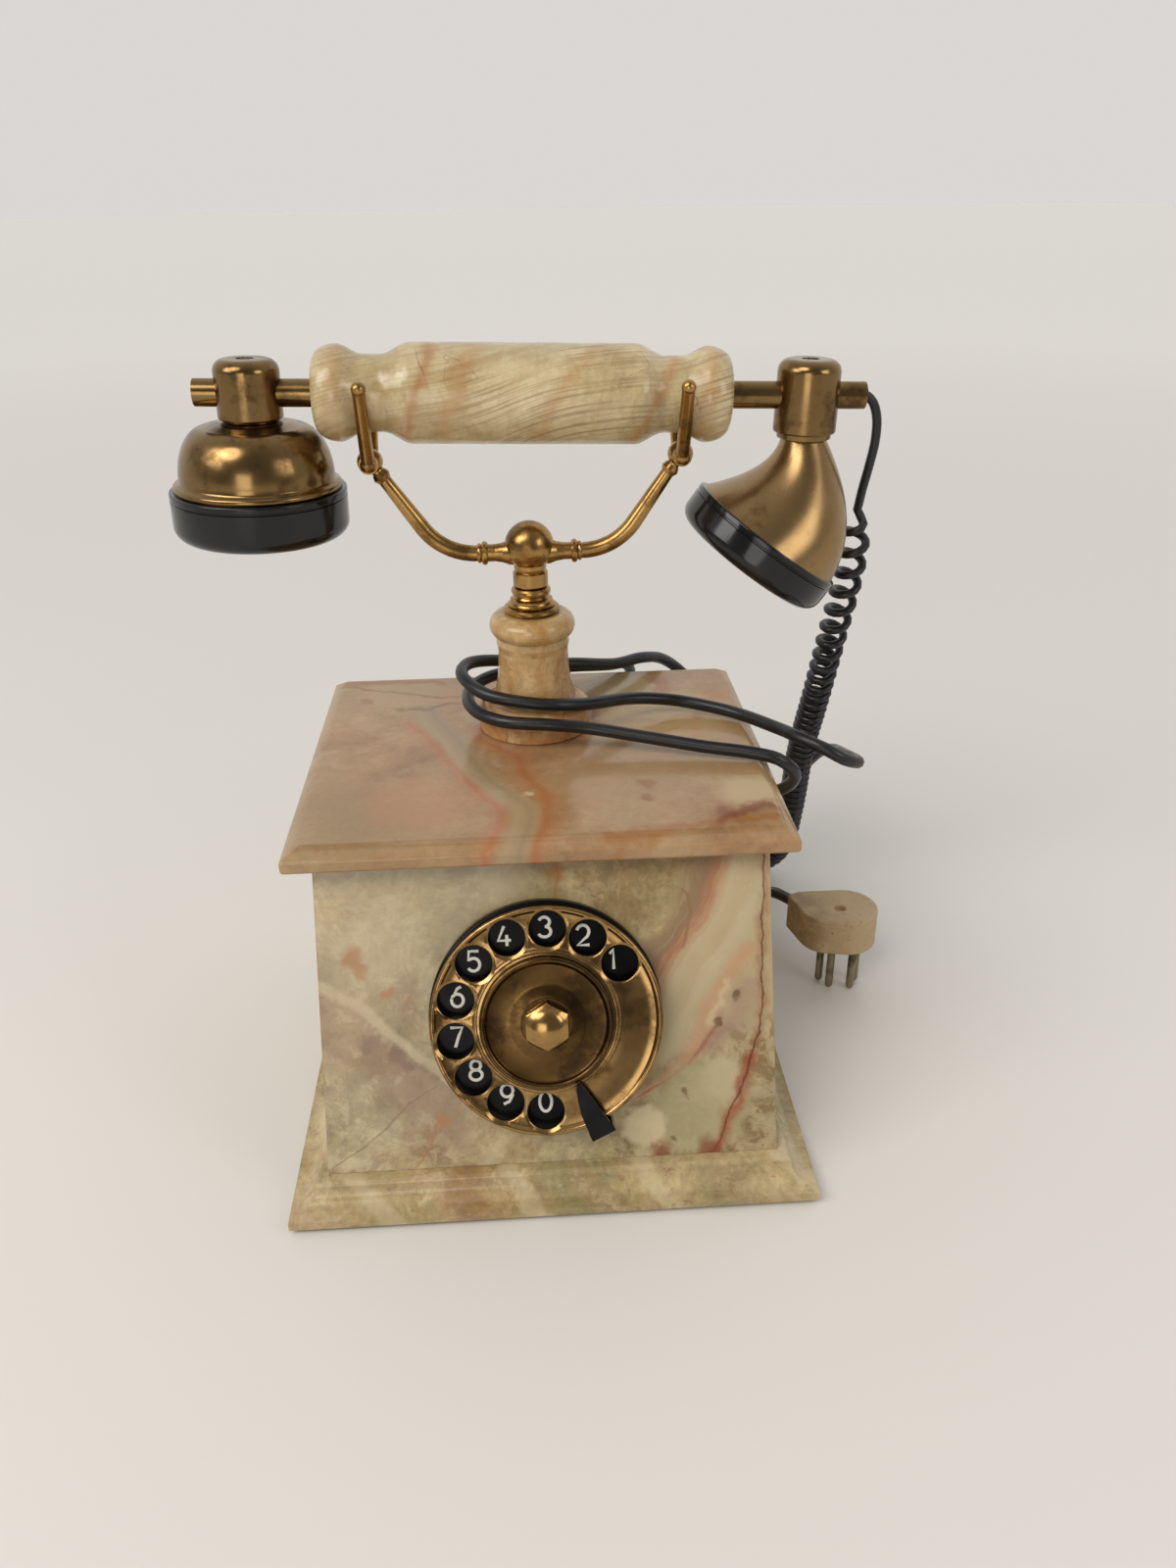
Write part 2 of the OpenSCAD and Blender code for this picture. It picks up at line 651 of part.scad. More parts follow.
module hook_contacts() {
    block_h = 12;
    leaf_low = lever_z + 11.5;
    top = lid_z - bracket_t;
    color([0.55, 0.30, 0.12]) translate([-5, bracket_front_y, top - block_h]) cube([10, 9, block_h]);
    color(brass) for (i = [0:2])
        translate([-3, bracket_front_y + 1.5 + 2.6 * i, leaf_low]) cube([6, 0.4, top - block_h - leaf_low]);
}

// ---------- dial ----------

module number_plate() {
    color(black) on_front() difference() {
        rotate_extrude() polygon(concat([[shaft_r + 3, frame_top], [frame_r, frame_top], [frame_r, 0]],
            [[plate_r - 0.4, 0], [plate_r, 0.4]],
            arc(plate_r - 1.2, plate_h - 1.2, 1.2, 1.2, 0, 90, 4), [[shaft_r + 3, plate_h]]));
        translate([0, 0, frame_top - 1]) cylinder(r = frame_r - 4, h = stone_t + 2);
    }
}

module dial_frame() {
    color(steel) on_front() difference() {
        union() {
            translate([0, 0, frame_top - frame_t]) cylinder(r = frame_r, h = frame_t);
            translate([0, 0, frame_rear]) cylinder(r = frame_r, h = frame_t);
            for (a = [30, 90, 210, 330])
                rotate(a) translate([frame_r - 3.5, 0, frame_rear])
                    cylinder(r = 2.5, h = frame_top - frame_rear);
        }
        translate([0, 0, frame_rear - 1]) cylinder(r = shaft_r + running, h = 20);
        rotate(governor_angle) translate([pinion_dist, 0, frame_rear - 1]) cylinder(r = 1 + running, h = 20);
    }
}

module dial_shaft() {
    color(steel) on_front() translate([0, 0, frame_rear - 2])
        cylinder(r = shaft_r, h = hub_top + 6 - frame_rear);
}

module drive_gear() {
    color(brass) on_front() difference() {
        union() {
            translate([0, 0, gear_n]) linear_extrude(height = gear_t) toothed(gear_teeth, gear_module);
            translate([0, 0, gear_n - 1.5]) cylinder(r = shaft_r + 2.5, h = gear_t + 3);
        }
        translate([0, 0, gear_n - 3]) cylinder(r = shaft_r, h = 10);
        for (a = [0:60:300])
            rotate(a) translate([13, 0, gear_n - 1]) cylinder(r = 3.5, h = gear_t + 2);
    }
}

module governor() {
    mesh_turn = governor_angle + 180 + 180 / pinion_teeth
        + (governor_angle * gear_teeth / 360 - floor(governor_angle * gear_teeth / 360)) * 360 / pinion_teeth;
    color(steel) on_front() rotate(governor_angle) translate([pinion_dist, 0, 0]) {
        translate([0, 0, frame_rear - 1]) cylinder(r = 1, h = frame_top - frame_rear + 1);
        rotate(mesh_turn - governor_angle) translate([0, 0, gear_n - 0.25])
            linear_extrude(height = gear_t + 0.5) toothed(pinion_teeth, gear_module);
        translate([-4.4, -1.2, frame_rear + 3]) cube([8.8, 2.4, 2]);
        for (s = [-1, 1]) translate([s * 3.6, 0, frame_rear + 2.6]) cylinder(r = 1.7, h = 2.8);
    }
}

module governor_cup() {
    color(dark_brass) on_front() rotate(governor_angle) translate([pinion_dist, 0, 0]) {
        ring(6, 7.2, frame_rear + frame_t, frame_rear + frame_t + 4.5);
    }
}

module return_spring() {
    color(steel) on_front() ring(shaft_r + 0.3, 9, frame_rear + frame_t, frame_rear + frame_t + 4.5);
}

module pulse_contacts() {
    color([0.55, 0.30, 0.12]) on_front() translate([-6, -frame_r + 3.5, frame_rear + frame_t])
        cube([12, 6, 6]);
    color(brass) on_front() for (i = [0:2])
        translate([-8, -frame_r + 5 + 1.6 * i, frame_rear + frame_t + 6]) cube([16, 0.4, 2.5]);
}

module finger_wheel() {
    color(brass) on_front() difference() {
        rotate_extrude() polygon(concat(
            [[shaft_r, wheel_under + 1.2], [hub_r - 1, wheel_under + 1.2], [hub_r + 2, wheel_under + 0.4],
                [wheel_r - 4, wheel_under], [wheel_r - 0.6, wheel_under]],
            arc(wheel_r - 0.9, wheel_h - 0.9, 0.9, 0.9, 0, 150, 6),
            [[wheel_r - 3, wheel_under + 1.3]],
            [for (i = [0:5]) [wheel_r - 4 - i * (wheel_r - 6 - hub_r) / 5,
                wheel_under + 1.1 + 0.35 * (i / 5) * (i / 5)]],
            arc(hub_r, wheel_h - 1, 1.4, 1, 20, 90, 4), [[shaft_r, wheel_h]]));
        for (i = [0:9]) rotate(finger_first + i * 360 / 14)
            translate([finger_ring_r, 0, wheel_under - 1]) cylinder(r = finger_r, h = 5);
    }
}

module hub_disc() {
    color(dark_brass) on_front() difference() {
        rotate_extrude() polygon(concat(
            [[shaft_r, wheel_h], [hub_r - 3, wheel_h], [hub_r - 0.8, hub_n - 0.2]],
            arc(hub_r - 1, hub_top - 0.4, 1, 1, -70, 160, 8),
            [[hub_r - 3, hub_top - 0.8], [12, hub_top - 0.7], [9.4, hub_top], [shaft_r, hub_top]]));
        translate([0, 0, wheel_h - 1]) cylinder(r = shaft_r, h = 6);
    }
}

module hub_nut() {
    hex_r = hub_nut_af / 2 / cos(30);
    color(brass) on_front() difference() {
        union() {
            translate([0, 0, hub_top]) cylinder(r = hex_r + 0.6, h = 0.8);
            intersection() {
                translate([0, 0, hub_top + 0.8]) rotate(30) cylinder(r = hex_r, h = 9, $fn = 6);
                translate([0, 0, hub_top - 2.2]) sphere(r = hex_r + 1.8);
            }
        }
        translate([0, 0, hub_top - 1]) cylinder(r = shaft_r, h = 5 + soft_gap);
    }
}

module finger_stop() {
    leg_r = max(wheel_r, plate_r) + soft_gap;
    leg_t = 2.6;
    leg_w = 8.4;
    over_n = wheel_h + 1.4;
    stop_t = 1.8;
    color(black) on_front() rotate(stop_angle) {
        translate([0, 0, over_n]) linear_extrude(height = stop_t)
            polygon([[hub_r + 0.8, -0.8], [hub_r + 0.8, 1], [leg_r + leg_t, leg_w / 2],
                [leg_r + leg_t, -leg_w / 2], [wheel_r - 6, -leg_w / 2 + 0.6], [hub_r + 5, -2.4]]);
        translate([leg_r, -leg_w / 2, 0]) cube([leg_t, leg_w, over_n + stop_t]);
    }
}

// ---------- ringer and circuit ----------

module ringer_frame() {
    color(steel) {
        difference() {
            translate([-gong_x - 5, armature_y - 12, ringer_z])
                cube([2 * gong_x + 10, gong_y - armature_y + 24, ringer_t]);
            translate([-11, 12, ringer_z - 1]) cube([22, 20, ringer_t + 2]);
        }
        for (s = [-1, 1]) translate([s * gong_x, gong_y, ringer_z]) {
            cylinder(r = 3, h = gong_lift + gong_h - 1.6);
            cylinder(r = 2, h = gong_lift + gong_h + 2);
            translate([0, 0, gong_lift + gong_h]) cylinder(r = 3.6, h = 2);
        }
        translate([0, armature_y, ringer_z]) cylinder(r = 1.5, h = armature_z + 4 - ringer_z);
    }
}

module ringer_coils() {
    base = ringer_z + ringer_t;
    for (s = [-1, 1]) translate([s * 11, armature_y, base]) {
        color(steel) cylinder(r = 3, h = coil_h + 0.8);
        color(copper) translate([0, 0, 1.5]) cylinder(r = coil_r, h = coil_h - 3);
        color(black) for (z = [0, coil_h - 1.5]) translate([0, 0, z]) cylinder(r = coil_r + 1, h = 1.5);
    }
}

module gong(side) {
    color(brass) translate([side * gong_x, gong_y, gong_z]) rotate_extrude() polygon(concat(
        [[gong_r, 0]], arc(gong_r - 9, gong_h - 9, 9, 9, 0, 90, 8),
        [[2, gong_h], [2, gong_h - 1.6]], arc(gong_r - 9, gong_h - 9, 7.4, 7.4, 90, 0, 8),
        [[gong_r - 1.6, 0]]));
}

module left_gong() {
    gong(-1);
}

module right_gong() {
    gong(1);
}

module clapper() {
    color(steel) difference() {
        union() {
            translate([-18, armature_y - 4, armature_z]) cube([36, 8, 2]);
            translate([-1, armature_y + 3, armature_z]) cube([2, gong_y - armature_y - 3, 2]);
            translate([-1, gong_y - 1, armature_z]) cube([2, 2, gong_z + 5 - armature_z]);
            translate([0, gong_y, gong_z + 5]) sphere(r = 2.5);
        }
        translate([0, armature_y, armature_z - 1]) cylinder(r = 1.5 + running, h = 4);
    }
}

module induction_coil() {
    translate([17 - cavity_w / 2, -12, ringer_z]) {
        color(steel) difference() {
            translate([-11, -11, 0]) cube([22, 22, 20]);
            translate([-9, -12, 4]) cube([18, 24, 12]);
        }
        color(copper) translate([0, 0, 10]) rotate([90, 0, 0]) intersection() {
            cube([18, 12, 20], center = true);
            cylinder(r = 10, h = 20, center = true);
        }
    }
}

module capacitor() {
    color([0.70, 0.70, 0.66]) translate([cavity_w / 2 - 4 - 8 - soft_gap, -12, ringer_z]) {
        translate([-8, -13, 0]) cube([16, 26, 12]);
        for (s = [-1, 1]) translate([s * 4, 0, 12]) cylinder(r = 1, h = 4);
    }
}

module terminal_block() {
    color([0.55, 0.30, 0.12]) translate([-22, -50, ringer_z]) cube([44, 14, 6]);
    color(brass) for (i = [0:4]) translate([-16 + 8 * i, -43, ringer_z + 6]) cylinder(r = 2, h = 1.6);
}

// ---------- handset ----------

grip_end = handle_half - 32.4;
waist_start = grip_end + 10;
waist_end = waist_start + 6;
bulb_x = handle_half - 7.9;

function handle_r(x) = x < grip_end ? grip_r
    : x < waist_start ? ease(x, grip_end, waist_start, grip_r, waist_r)
    : ease(x, waist_end, bulb_x, waist_r, bulb_r);

module handle() {
    half = concat(
        [for (d = [-grip_end, -2, 0, 2, 4, 5, 6, 8, 10]) [handle_r(grip_end + d), grip_end + d]],
        [for (d = [0, 1.5, 3, 4.5, 6, 7.3]) [handle_r(waist_end + d), waist_end + d]],
        arc(5, bulb_x, bulb_r - 5, 7.9, 0, 90, 8));
    color(onyx_green) on_handset() rotate([0, 90, 0]) rotate_extrude() polygon(concat(
        [[rod_r + slack, -handle_half]], [for (i = [len(half) - 1:-1:1]) [half[i][0], -half[i][1]]],
        half, [[rod_r + slack, handle_half]]));
}

module handset_rod() {
    color(brass) on_handset() rotate([0, 90, 0]) difference() {
        translate([0, 0, rod_left]) cylinder(r = rod_r, h = rod_right - rod_left);
        translate([0, 0, rod_left + 3]) cylinder(r = rod_bore_r, h = rod_right - rod_left);
        for (x = [-ear_x, mouth_x])
            translate([0, 0, x]) rotate([0, 90, 0]) cylinder(r = 2, h = 2 * rod_r);
    }
}

// A boss round the rod, with a domed top, a narrower collar below and a bore for the wires
module boss(x, low, high, collar) {
    dome = 4;
    color(dark_brass) on_handset() translate([x, 0, 0]) difference() {
        rotate_extrude() polygon(concat([[0, -low], [boss_r - 1.6, -low], [boss_r - 1.4, -low + collar],
            [boss_r, -low + collar + 0.8]],
            arc(boss_r - dome, high - dome, dome, dome, 0, 90, 8), [[0, high]]));
        rotate([0, 90, 0]) cylinder(r = rod_r, h = 4 * boss_r, center = true);
        translate([0, 0, rod_r - 1]) cylinder(r = 3, h = high);
        translate([0, 0, -low - 1]) cylinder(r = 2.5, h = low);
    }
}

ear_boss_high = 11;
mouth_boss_high = 12;

module ear_boss() {
    boss(-ear_x, boss_low, ear_boss_high, 0.6);
}

module mouth_boss() {
    boss(mouth_x, mouth_boss_low, mouth_boss_high, 1.8);
}

module boss_screws() {
    color(dark_brass) on_handset() for (q = [[-ear_x, ear_boss_high], [mouth_x, mouth_boss_high]])
        translate([q[0], 0, 0]) difference() {
            translate([0, 0, rod_r + 0.2]) cylinder(r = 3 - running, h = q[1] - rod_r - 0.5);
            translate([0, 0, q[1]]) cube([8, 0.9, 2], center = true);
        }
}

module ear_shell() {
    crown_r = 16;
    belly = ear_rim_r - 2.2 - crown_r;
    low = 3.5;
    tall = ear_depth - 1.5 - low;
    color(dark_brass) on_handset() translate([-ear_x, 0, ear_rim]) rotate_extrude() polygon(concat(
        [[3, ear_depth], [boss_r - 1.6, ear_depth]],
        [for (i = [0:8]) let (a = 90 * i / 8) [crown_r + belly * sin(a), low + tall * cos(a)]],
        [[ear_rim_r, 1.6], [ear_rim_r, 0], [ear_rim_r - 1.5, 0]],
        [for (i = [8:-1:0]) let (a = 90 * i / 8)
            [crown_r + (belly - shell_t) * sin(a), low - 1 + (tall - shell_t + 1) * cos(a)]],
        [[3, ear_depth - shell_t - 1.5]]));
}

// A cup with a rounded closed end and seven holes; z runs from the open end towards the face
module cup(r, h) {
    difference() {
        rotate_extrude() polygon(concat([[0, 0], [r - 0.8, 0], [r, 0.8]],
            arc(r - cap_round, h - cap_round, cap_round, cap_round, 0, 90, 8), [[0, h]]));
        translate([0, 0, -1]) cylinder(r = r - cap_wall - 0.6, h = h - cap_wall - 1.4);
        for (q = [[0, 1], [8, 6]], i = [0:q[1] - 1])
            rotate(360 * i / q[1]) translate([q[0], 0, h - 5]) cylinder(r = 1.6, h = 6);
    }
}

module ear_cap() {
    color(black) on_handset() translate([-ear_x, 0, ear_rim]) rotate([180, 0, 0]) cup(ear_cap_r, ear_cap_h);
}

module receiver_capsule() {
    r = ear_cap_r - cap_wall - 0.6 - slack;
    deep = ear_cap_h - cap_wall - 2.4;
    color(steel) on_handset() translate([-ear_x, 0, ear_rim]) rotate([180, 0, 0]) {
        translate([0, 0, deep - 8]) cylinder(r = r, h = 8);
        translate([0, 0, deep - 11]) cylinder(r = 12, h = 3);
    }
}

// Ring of points of the mouthpiece horn, at t from the neck (0) to the rim (1), inset by a wall
function horn_ring(t, wall, sides) =
    let (reach = mouth_rim_r * [cos(mouth_tilt), -sin(mouth_tilt)],
        outer = bend([mouth_x + mouth_neck_r, -mouth_boss_low], horn_outer, mouth_rim + reach, t),
        inner = bend([mouth_x - mouth_neck_r, -mouth_boss_low], horn_inner, mouth_rim - reach, t),
        middle = (outer + inner) / 2,
        half = (outer - inner) / 2,
        r = norm(half) - wall,
        side = half / norm(half))
    [for (k = [0:sides - 1]) let (a = 360 * k / sides)
        [middle[0] + r * cos(a) * side[0], r * sin(a), middle[1] + r * cos(a) * side[1]]];

module mouth_shell() {
    sides = 40;
    steps = 11;
    rings = concat([for (i = [0:steps]) horn_ring(i / steps, 0, sides)],
        [for (i = [steps:-1:0]) horn_ring(i / steps, shell_t, sides)]);
    count = len(rings);
    points = [for (a = rings) for (p = a) p];
    faces = [for (i = [0:count - 1], k = [0:sides - 1]) let (j = (i + 1) % count, k2 = (k + 1) % sides)
        [i * sides + k, i * sides + k2, j * sides + k2, j * sides + k]];
    color(brass) on_handset() polyhedron(points, faces, convexity = 6);
}

module mouth_cap() {
    color(black) on_mouth() cup(mouth_cap_r, mouth_cap_h);
}

module microphone_capsule() {
    r = mouth_cap_r - cap_wall - 0.6 - slack;
    deep = mouth_cap_h - cap_wall - 2.4;
    color(steel) on_mouth() {
        translate([0, 0, deep - 7]) cylinder(r = r, h = 7);
        translate([0, 0, deep - 10.5]) cylinder(r = 10, h = 3.5);
    }
}

module cord_bush() {
    color(black) on_handset() rotate([0, 90, 0]) {
        translate([0, 0, rod_right - 6]) cylinder(r = rod_bore_r, h = 6);
        translate([0, 0, rod_right]) cylinder(r1 = rod_bore_r + 1, r2 = rod_bore_r, h = bush_h);
    }
}

// ---------- cords and plug ----------

module handset_lead() {
    along = [cos(handset_tilt), 0, -sin(handset_tilt)];
    start = [0, pillar_y, handset_z] + (rod_right + bush_h) * along;
    color(black) tube(concat([start], lead_route), lead_r, 8, along, [0, 0, -1]);
}

module handset_coil() {
    color(black) tube(coil_route, coil_cord_r, 10, [0, 0, -1], [0, -1, 0]);
}

// A rubber bush through the rear panel, tapering towards the cord
module gland(x, cord_r, reach) {
    color(black) translate([x, rear_y, gland_z]) rotate([-90, 0, 0]) rotate_extrude() polygon([
        [0, -stone_t - 2], [gland_r + 1.4, -stone_t - 2], [gland_r + 1.4, -stone_t], [gland_r, -stone_t],
        [gland_r, 0], [gland_r + 2, 0], [gland_r + 2, 1.6], [gland_r, 2.2], [cord_r + 0.9, reach],
        [0, reach]]);
}

module handset_gland() {
    gland(gland_x, lead_r, coil_route[len(coil_route) - 1][1] - rear_y);
}

module line_gland() {
    gland(line_x, line_r, line_feed[0][1] - rear_y);
}

module line_cord() {
    route = concat(line_route, [[plug_tail[0], plug_tail[1], plug_entry_z]]);
    color(black) union() {
        tube(line_feed, line_r, 8, [0, 1, 0], [0, 1, 0]);
        translate([spare_centre[0], spare_centre[1], 0]) rotate_extrude() hull() {
            for (z = [spare_low, spare_high]) translate([spare_r, z]) circle(r = line_r + 0.1);
        }
        tube(route, line_r, 8, [1, 0, 0], [-cos(plug_turn), -sin(plug_turn), 0]);
    }
}

module plug_body() {
    color(ivory) translate([0, 0, pin_len]) difference() {
        linear_extrude(height = plug_t) hull() {
            translate(plug_centre) circle(r = plug_r);
            translate(plug_back) circle(r = plug_r - 1);
            translate(plug_tail) rotate(plug_turn) translate([-2, -plug_tail_w / 2]) square([2, plug_tail_w]);
        }
        translate([plug_centre[0] - 3, plug_centre[1] - 1, plug_t - 2.5]) cylinder(r = 2.2, h = 4);
    }
}

module plug_pins() {
    pin_r = 1.6;
    places = [[116.8, 24.1], [119.9, 18.8], [128.4, 17.2], [131.6, 22.4]];
    color(brass) for (p = places) translate([p[0], p[1], 0]) {
        translate([0, 0, pin_r]) cylinder(r = pin_r, h = pin_len - pin_r);
        translate([0, 0, pin_r]) sphere(r = pin_r);
    }
}

plinth();
base_felt();
bottom_plate();
base_screws();
front_panel();
left_panel();
right_panel();
rear_panel();
top_lid();
pillar();
pillar_tube();
tube_nut();
pillar_cap();
cradle_ball();
left_arm();
right_arm();
plunger_rod();
hook_spring();
hook_lever();
hook_bracket();
hook_contacts();
number_plate();
dial_frame();
dial_shaft();
drive_gear();
governor();
governor_cup();
return_spring();
pulse_contacts();
finger_wheel();
hub_disc();
hub_nut();
finger_stop();
ringer_frame();
ringer_coils();
left_gong();
right_gong();
clapper();
induction_coil();
capacitor();
terminal_block();
handle();
handset_rod();
ear_boss();
ear_shell();
ear_cap();
receiver_capsule();
mouth_boss();
mouth_shell();
mouth_cap();
microphone_capsule();
boss_screws();
cord_bush();
handset_lead();
handset_coil();
handset_gland();
line_gland();
line_cord();
plug_body();
plug_pins();
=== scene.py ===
# %% [markdown]
# # A rotary telephone in onyx and brass
# The CAD solids come in as a fixed frame, and this lesson dresses them. Each step says what a piece
# or finish is on the real telephone, how it could be made in Blender, and why it is made this way.
# Everything is in metres: X to the right, Y to the back, Z up, with the middle of the felt at zero.

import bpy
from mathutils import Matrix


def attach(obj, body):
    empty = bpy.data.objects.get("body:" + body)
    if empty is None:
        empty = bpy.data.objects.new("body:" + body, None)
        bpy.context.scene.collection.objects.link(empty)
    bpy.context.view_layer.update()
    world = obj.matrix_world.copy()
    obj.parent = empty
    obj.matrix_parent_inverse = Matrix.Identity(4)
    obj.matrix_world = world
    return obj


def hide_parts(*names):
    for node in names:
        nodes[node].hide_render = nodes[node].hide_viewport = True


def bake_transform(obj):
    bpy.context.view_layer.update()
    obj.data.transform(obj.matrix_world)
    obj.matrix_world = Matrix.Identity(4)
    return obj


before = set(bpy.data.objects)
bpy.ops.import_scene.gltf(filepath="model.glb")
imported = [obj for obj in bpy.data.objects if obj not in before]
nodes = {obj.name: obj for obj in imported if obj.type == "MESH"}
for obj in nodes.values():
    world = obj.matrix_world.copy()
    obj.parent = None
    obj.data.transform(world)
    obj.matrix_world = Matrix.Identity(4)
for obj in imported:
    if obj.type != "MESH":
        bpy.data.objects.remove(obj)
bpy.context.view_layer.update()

from collections import Counter
from math import atan2, cos, pi, radians, sin, sqrt, tau

import bpy
from mathutils import Matrix, Vector

scene = bpy.context.scene
MM = 0.001
LEAN = radians(23)  # how far the front slab leans back

# %% [markdown]
# ## Camera
# The telephone stands a little below the eye, seen almost straight from the front. A camera could be
# aimed with a Track To constraint, but its roll would then be level. Three angles set it exactly.

# %% Camera
EYE = Vector((-3.8, -377.7, 308.7)) * MM
YAW, PITCH, ROLL = -0.057, 0.481, -0.014  # in radians
LENS_MM = 27


def eye_axes(yaw, pitch, roll):
    ahead = Vector((-sin(yaw) * cos(pitch), cos(yaw) * cos(pitch), -sin(pitch)))
    right = Vector((cos(yaw), sin(yaw), 0))
    up = right.cross(ahead)
    return (cos(roll) * right + sin(roll) * up, cos(roll) * up - sin(roll) * right, -ahead)


bpy.ops.object.camera_add()
camera = bpy.context.object
camera.name = "camera"
camera.matrix_world = Matrix.Translation(EYE) @ Matrix(eye_axes(YAW, PITCH, ROLL)).transposed().to_4x4()
camera.data.lens = LENS_MM
camera.data.clip_start = 0.01
scene.camera = camera
scene.view_settings.view_transform = "Standard"
print("camera", tuple(round(v, 3) for v in camera.location), "lens", camera.data.lens)

# %% [markdown]
# ## Small tools
# Every piece is added as a primitive or a curve, shaped, given its finish and handed to a CAD body.
# These few helpers hold what each of those steps repeats.


# %% Tools for pieces
def clear_selection():
    if bpy.context.object and bpy.context.object.mode != "OBJECT":
        bpy.ops.object.mode_set(mode="OBJECT")
    bpy.ops.object.select_all(action="DESELECT")


def only(piece):
    clear_selection()
    piece.select_set(True)
    bpy.context.view_layer.objects.active = piece
    return piece


def apply_all(piece):
    only(piece)
    for modifier in list(piece.modifiers):
        bpy.ops.object.modifier_apply(modifier=modifier.name)


def put_in_mesh(piece, place=None):
    """The piece's own place, and then place, go into its mesh."""
    only(piece)
    if place is not None:
        piece.matrix_world = place @ piece.matrix_world
    bpy.ops.object.transform_apply(location=True, rotation=True, scale=True)


def weld(piece):
    """Joins places that fall together and turns every face outwards."""
    only(piece)
    bpy.ops.object.mode_set(mode="EDIT")
    bpy.ops.mesh.select_all(action="SELECT")
    bpy.ops.mesh.remove_doubles(threshold=0.000002)
    bpy.ops.mesh.normals_make_consistent(inside=False)
    bpy.ops.object.mode_set(mode="OBJECT")


def smooth(piece, angle=35):
    only(piece)
    bpy.ops.object.shade_smooth_by_angle(angle=radians(angle))


def give(piece, name, body, finish, slot_name, replaced=()):
    """Names the piece, gives it its finish and lets it ride on its body."""
    piece.name = name
    piece.data.materials.clear()
    piece.data.materials.append(finish)
    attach(piece, body)
    if replaced:
        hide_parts(*replaced)
    return piece


def set_down(piece, angle, place, *told):
    """Smooths the piece, brings it to its place and gives it all that give asks for."""
    smooth(piece, angle)
    put_in_mesh(piece, place)
    return give(piece, *told)


# %% [markdown]
# ## Cords
# Three runs of black cord: the straight lead from the rod's end, the coiled cord down to the back, and
# the line cord, which lies in a neat round coil behind the base, winds round the pillar and ends in
# the plug. A cord could be simulated, but its route is known, so each is one smooth curve through
# points of the CAD route with a round bevel.

# %% Cord routes
LEAD_R, LINE_R, COIL_R = 1.65, 2.4, 6.5
ROD_END = Vector((118.86, 40, 238.18))
LEAD = [(121.5, 40, 235.6), (123.4, 40.3, 230), (123.8, 41.2, 222), (123, 43, 213), (122.2, 45.8, 204),
    (122, 48.5, 196.4)]
COIL = [(122, 49, 196), (122.6, 54, 172), (121.2, 66, 139), (120, 78, 108), (118, 88, 78), (117.6, 96, 46),
    (115.5, 102, 22), (108, 109, 9.5), (95, 115, 7.5), (80, 119.5, 8.5), (68, 122, 14), (59, 121.5, 23.5),
    (56, 115, 29), (56, 106, 30)]
FEED = [(20, 106, 30), (20, 113, 29.6), (20, 121, 26.5), (19.6, 129, 20), (18.8, 136, 12.5), (17.4, 143, 6),
    (15.2, 150, 3.1)]
SPARE_X, SPARE_Y, SPARE_R, SPARE_LOW, SPARE_PITCH = -14, 160, 26.4, 2.5, 4.95
SPARE = [(SPARE_X + SPARE_R * cos(tau * i / 12), SPARE_Y + SPARE_R * sin(tau * i / 12),
    SPARE_LOW + SPARE_PITCH * i / 12) for i in range(34)]
RISE = [(-3, 133.3, 17), (7, 132.2, 21.5), (16, 130, 30), (23.5, 127.2, 42), (29, 124, 56)]
ROUND_THE_PILLAR = [(33, 120.5, 72), (40, 111, 94),
    (43, 102.5, 110), (40, 94, 120), (31, 85, 123.2), (14, 74, 127.5), (-2, 66.5, 129.5), (-16, 60, 130.5),
    (-25, 46, 130.5), (-23.5, 29, 130), (-12.5, 17.5, 129.5), (4.5, 14.5, 128.8), (19, 14.2, 127),
    (40, 9.5, 124.6), (61, 4, 122.5), (76, 0, 121.6), (86.5, -2.5, 119.6), (93.5, 0, 112.5),
    (94, 8, 103.5), (90.5, 18, 95.5), (86.5, 36, 87), (84, 60, 84), (83, 82, 88), (77.5, 99, 99),
    (66, 104, 111), (56, 98.5, 120), (46, 88.5, 124.6), (34, 78, 126.5), (17, 67.5, 131.5),
    (0, 60.5, 134.5), (-14.5, 57, 138), (-25, 48.5, 140.5), (-27, 37, 140), (-18, 25.5, 137),
    (-2.4, 21.6, 134.6), (10, 22.5, 133), (21, 29, 130.3), (35.5, 39.5, 127.2), (47.5, 43.6, 125),
    (60, 43.5, 123), (77, 35.2, 121.6), (90.5, 18, 122.2), (94.5, 9.5, 123.2), (99, 4, 122.8),
    (105, 0.5, 121), (111, 0, 117.5), (116.3, 3.2, 114.3), (119.5, 10, 111.2), (123, 40, 99.5),
    (126.5, 60, 91), (128.5, 78, 83), (128, 93, 74), (124.5, 106, 60), (119.5, 113.5, 45),
    (113.5, 117, 33), (105.5, 116.5, 26), (98.5, 109.5, 22.5), (95, 95, 19.5), (95, 78, 15),
    (96.5, 62, 18.5), (100.5, 50.5, 28), (106.6, 38.4, 31)]
LINE = FEED + SPARE + RISE + ROUND_THE_PILLAR


def smooth_route(points, step):
    """Points every step along a curve that passes evenly through the given ones."""
    p = [Vector(q) for q in points]
    p = [2 * p[0] - p[1]] + p + [2 * p[-1] - p[-2]]
    fine = []
    for a, b, c, d in zip(p, p[1:], p[2:], p[3:]):
        count = max(1, round((c - b).length / step))
        for i in range(count):
            t = i / count
            fine.append(0.5 * (2 * b + (c - a) * t + (2 * a - 5 * b + 4 * c - d) * t * t
                + (3 * b - a - 3 * c + d) * t ** 3))
    return fine + [p[-2]]


def length_of(points):
    return sum((b - a).length for a, b in zip(points, points[1:]))


print("line cord", round(length_of(smooth_route(LINE, 2))), "mm")


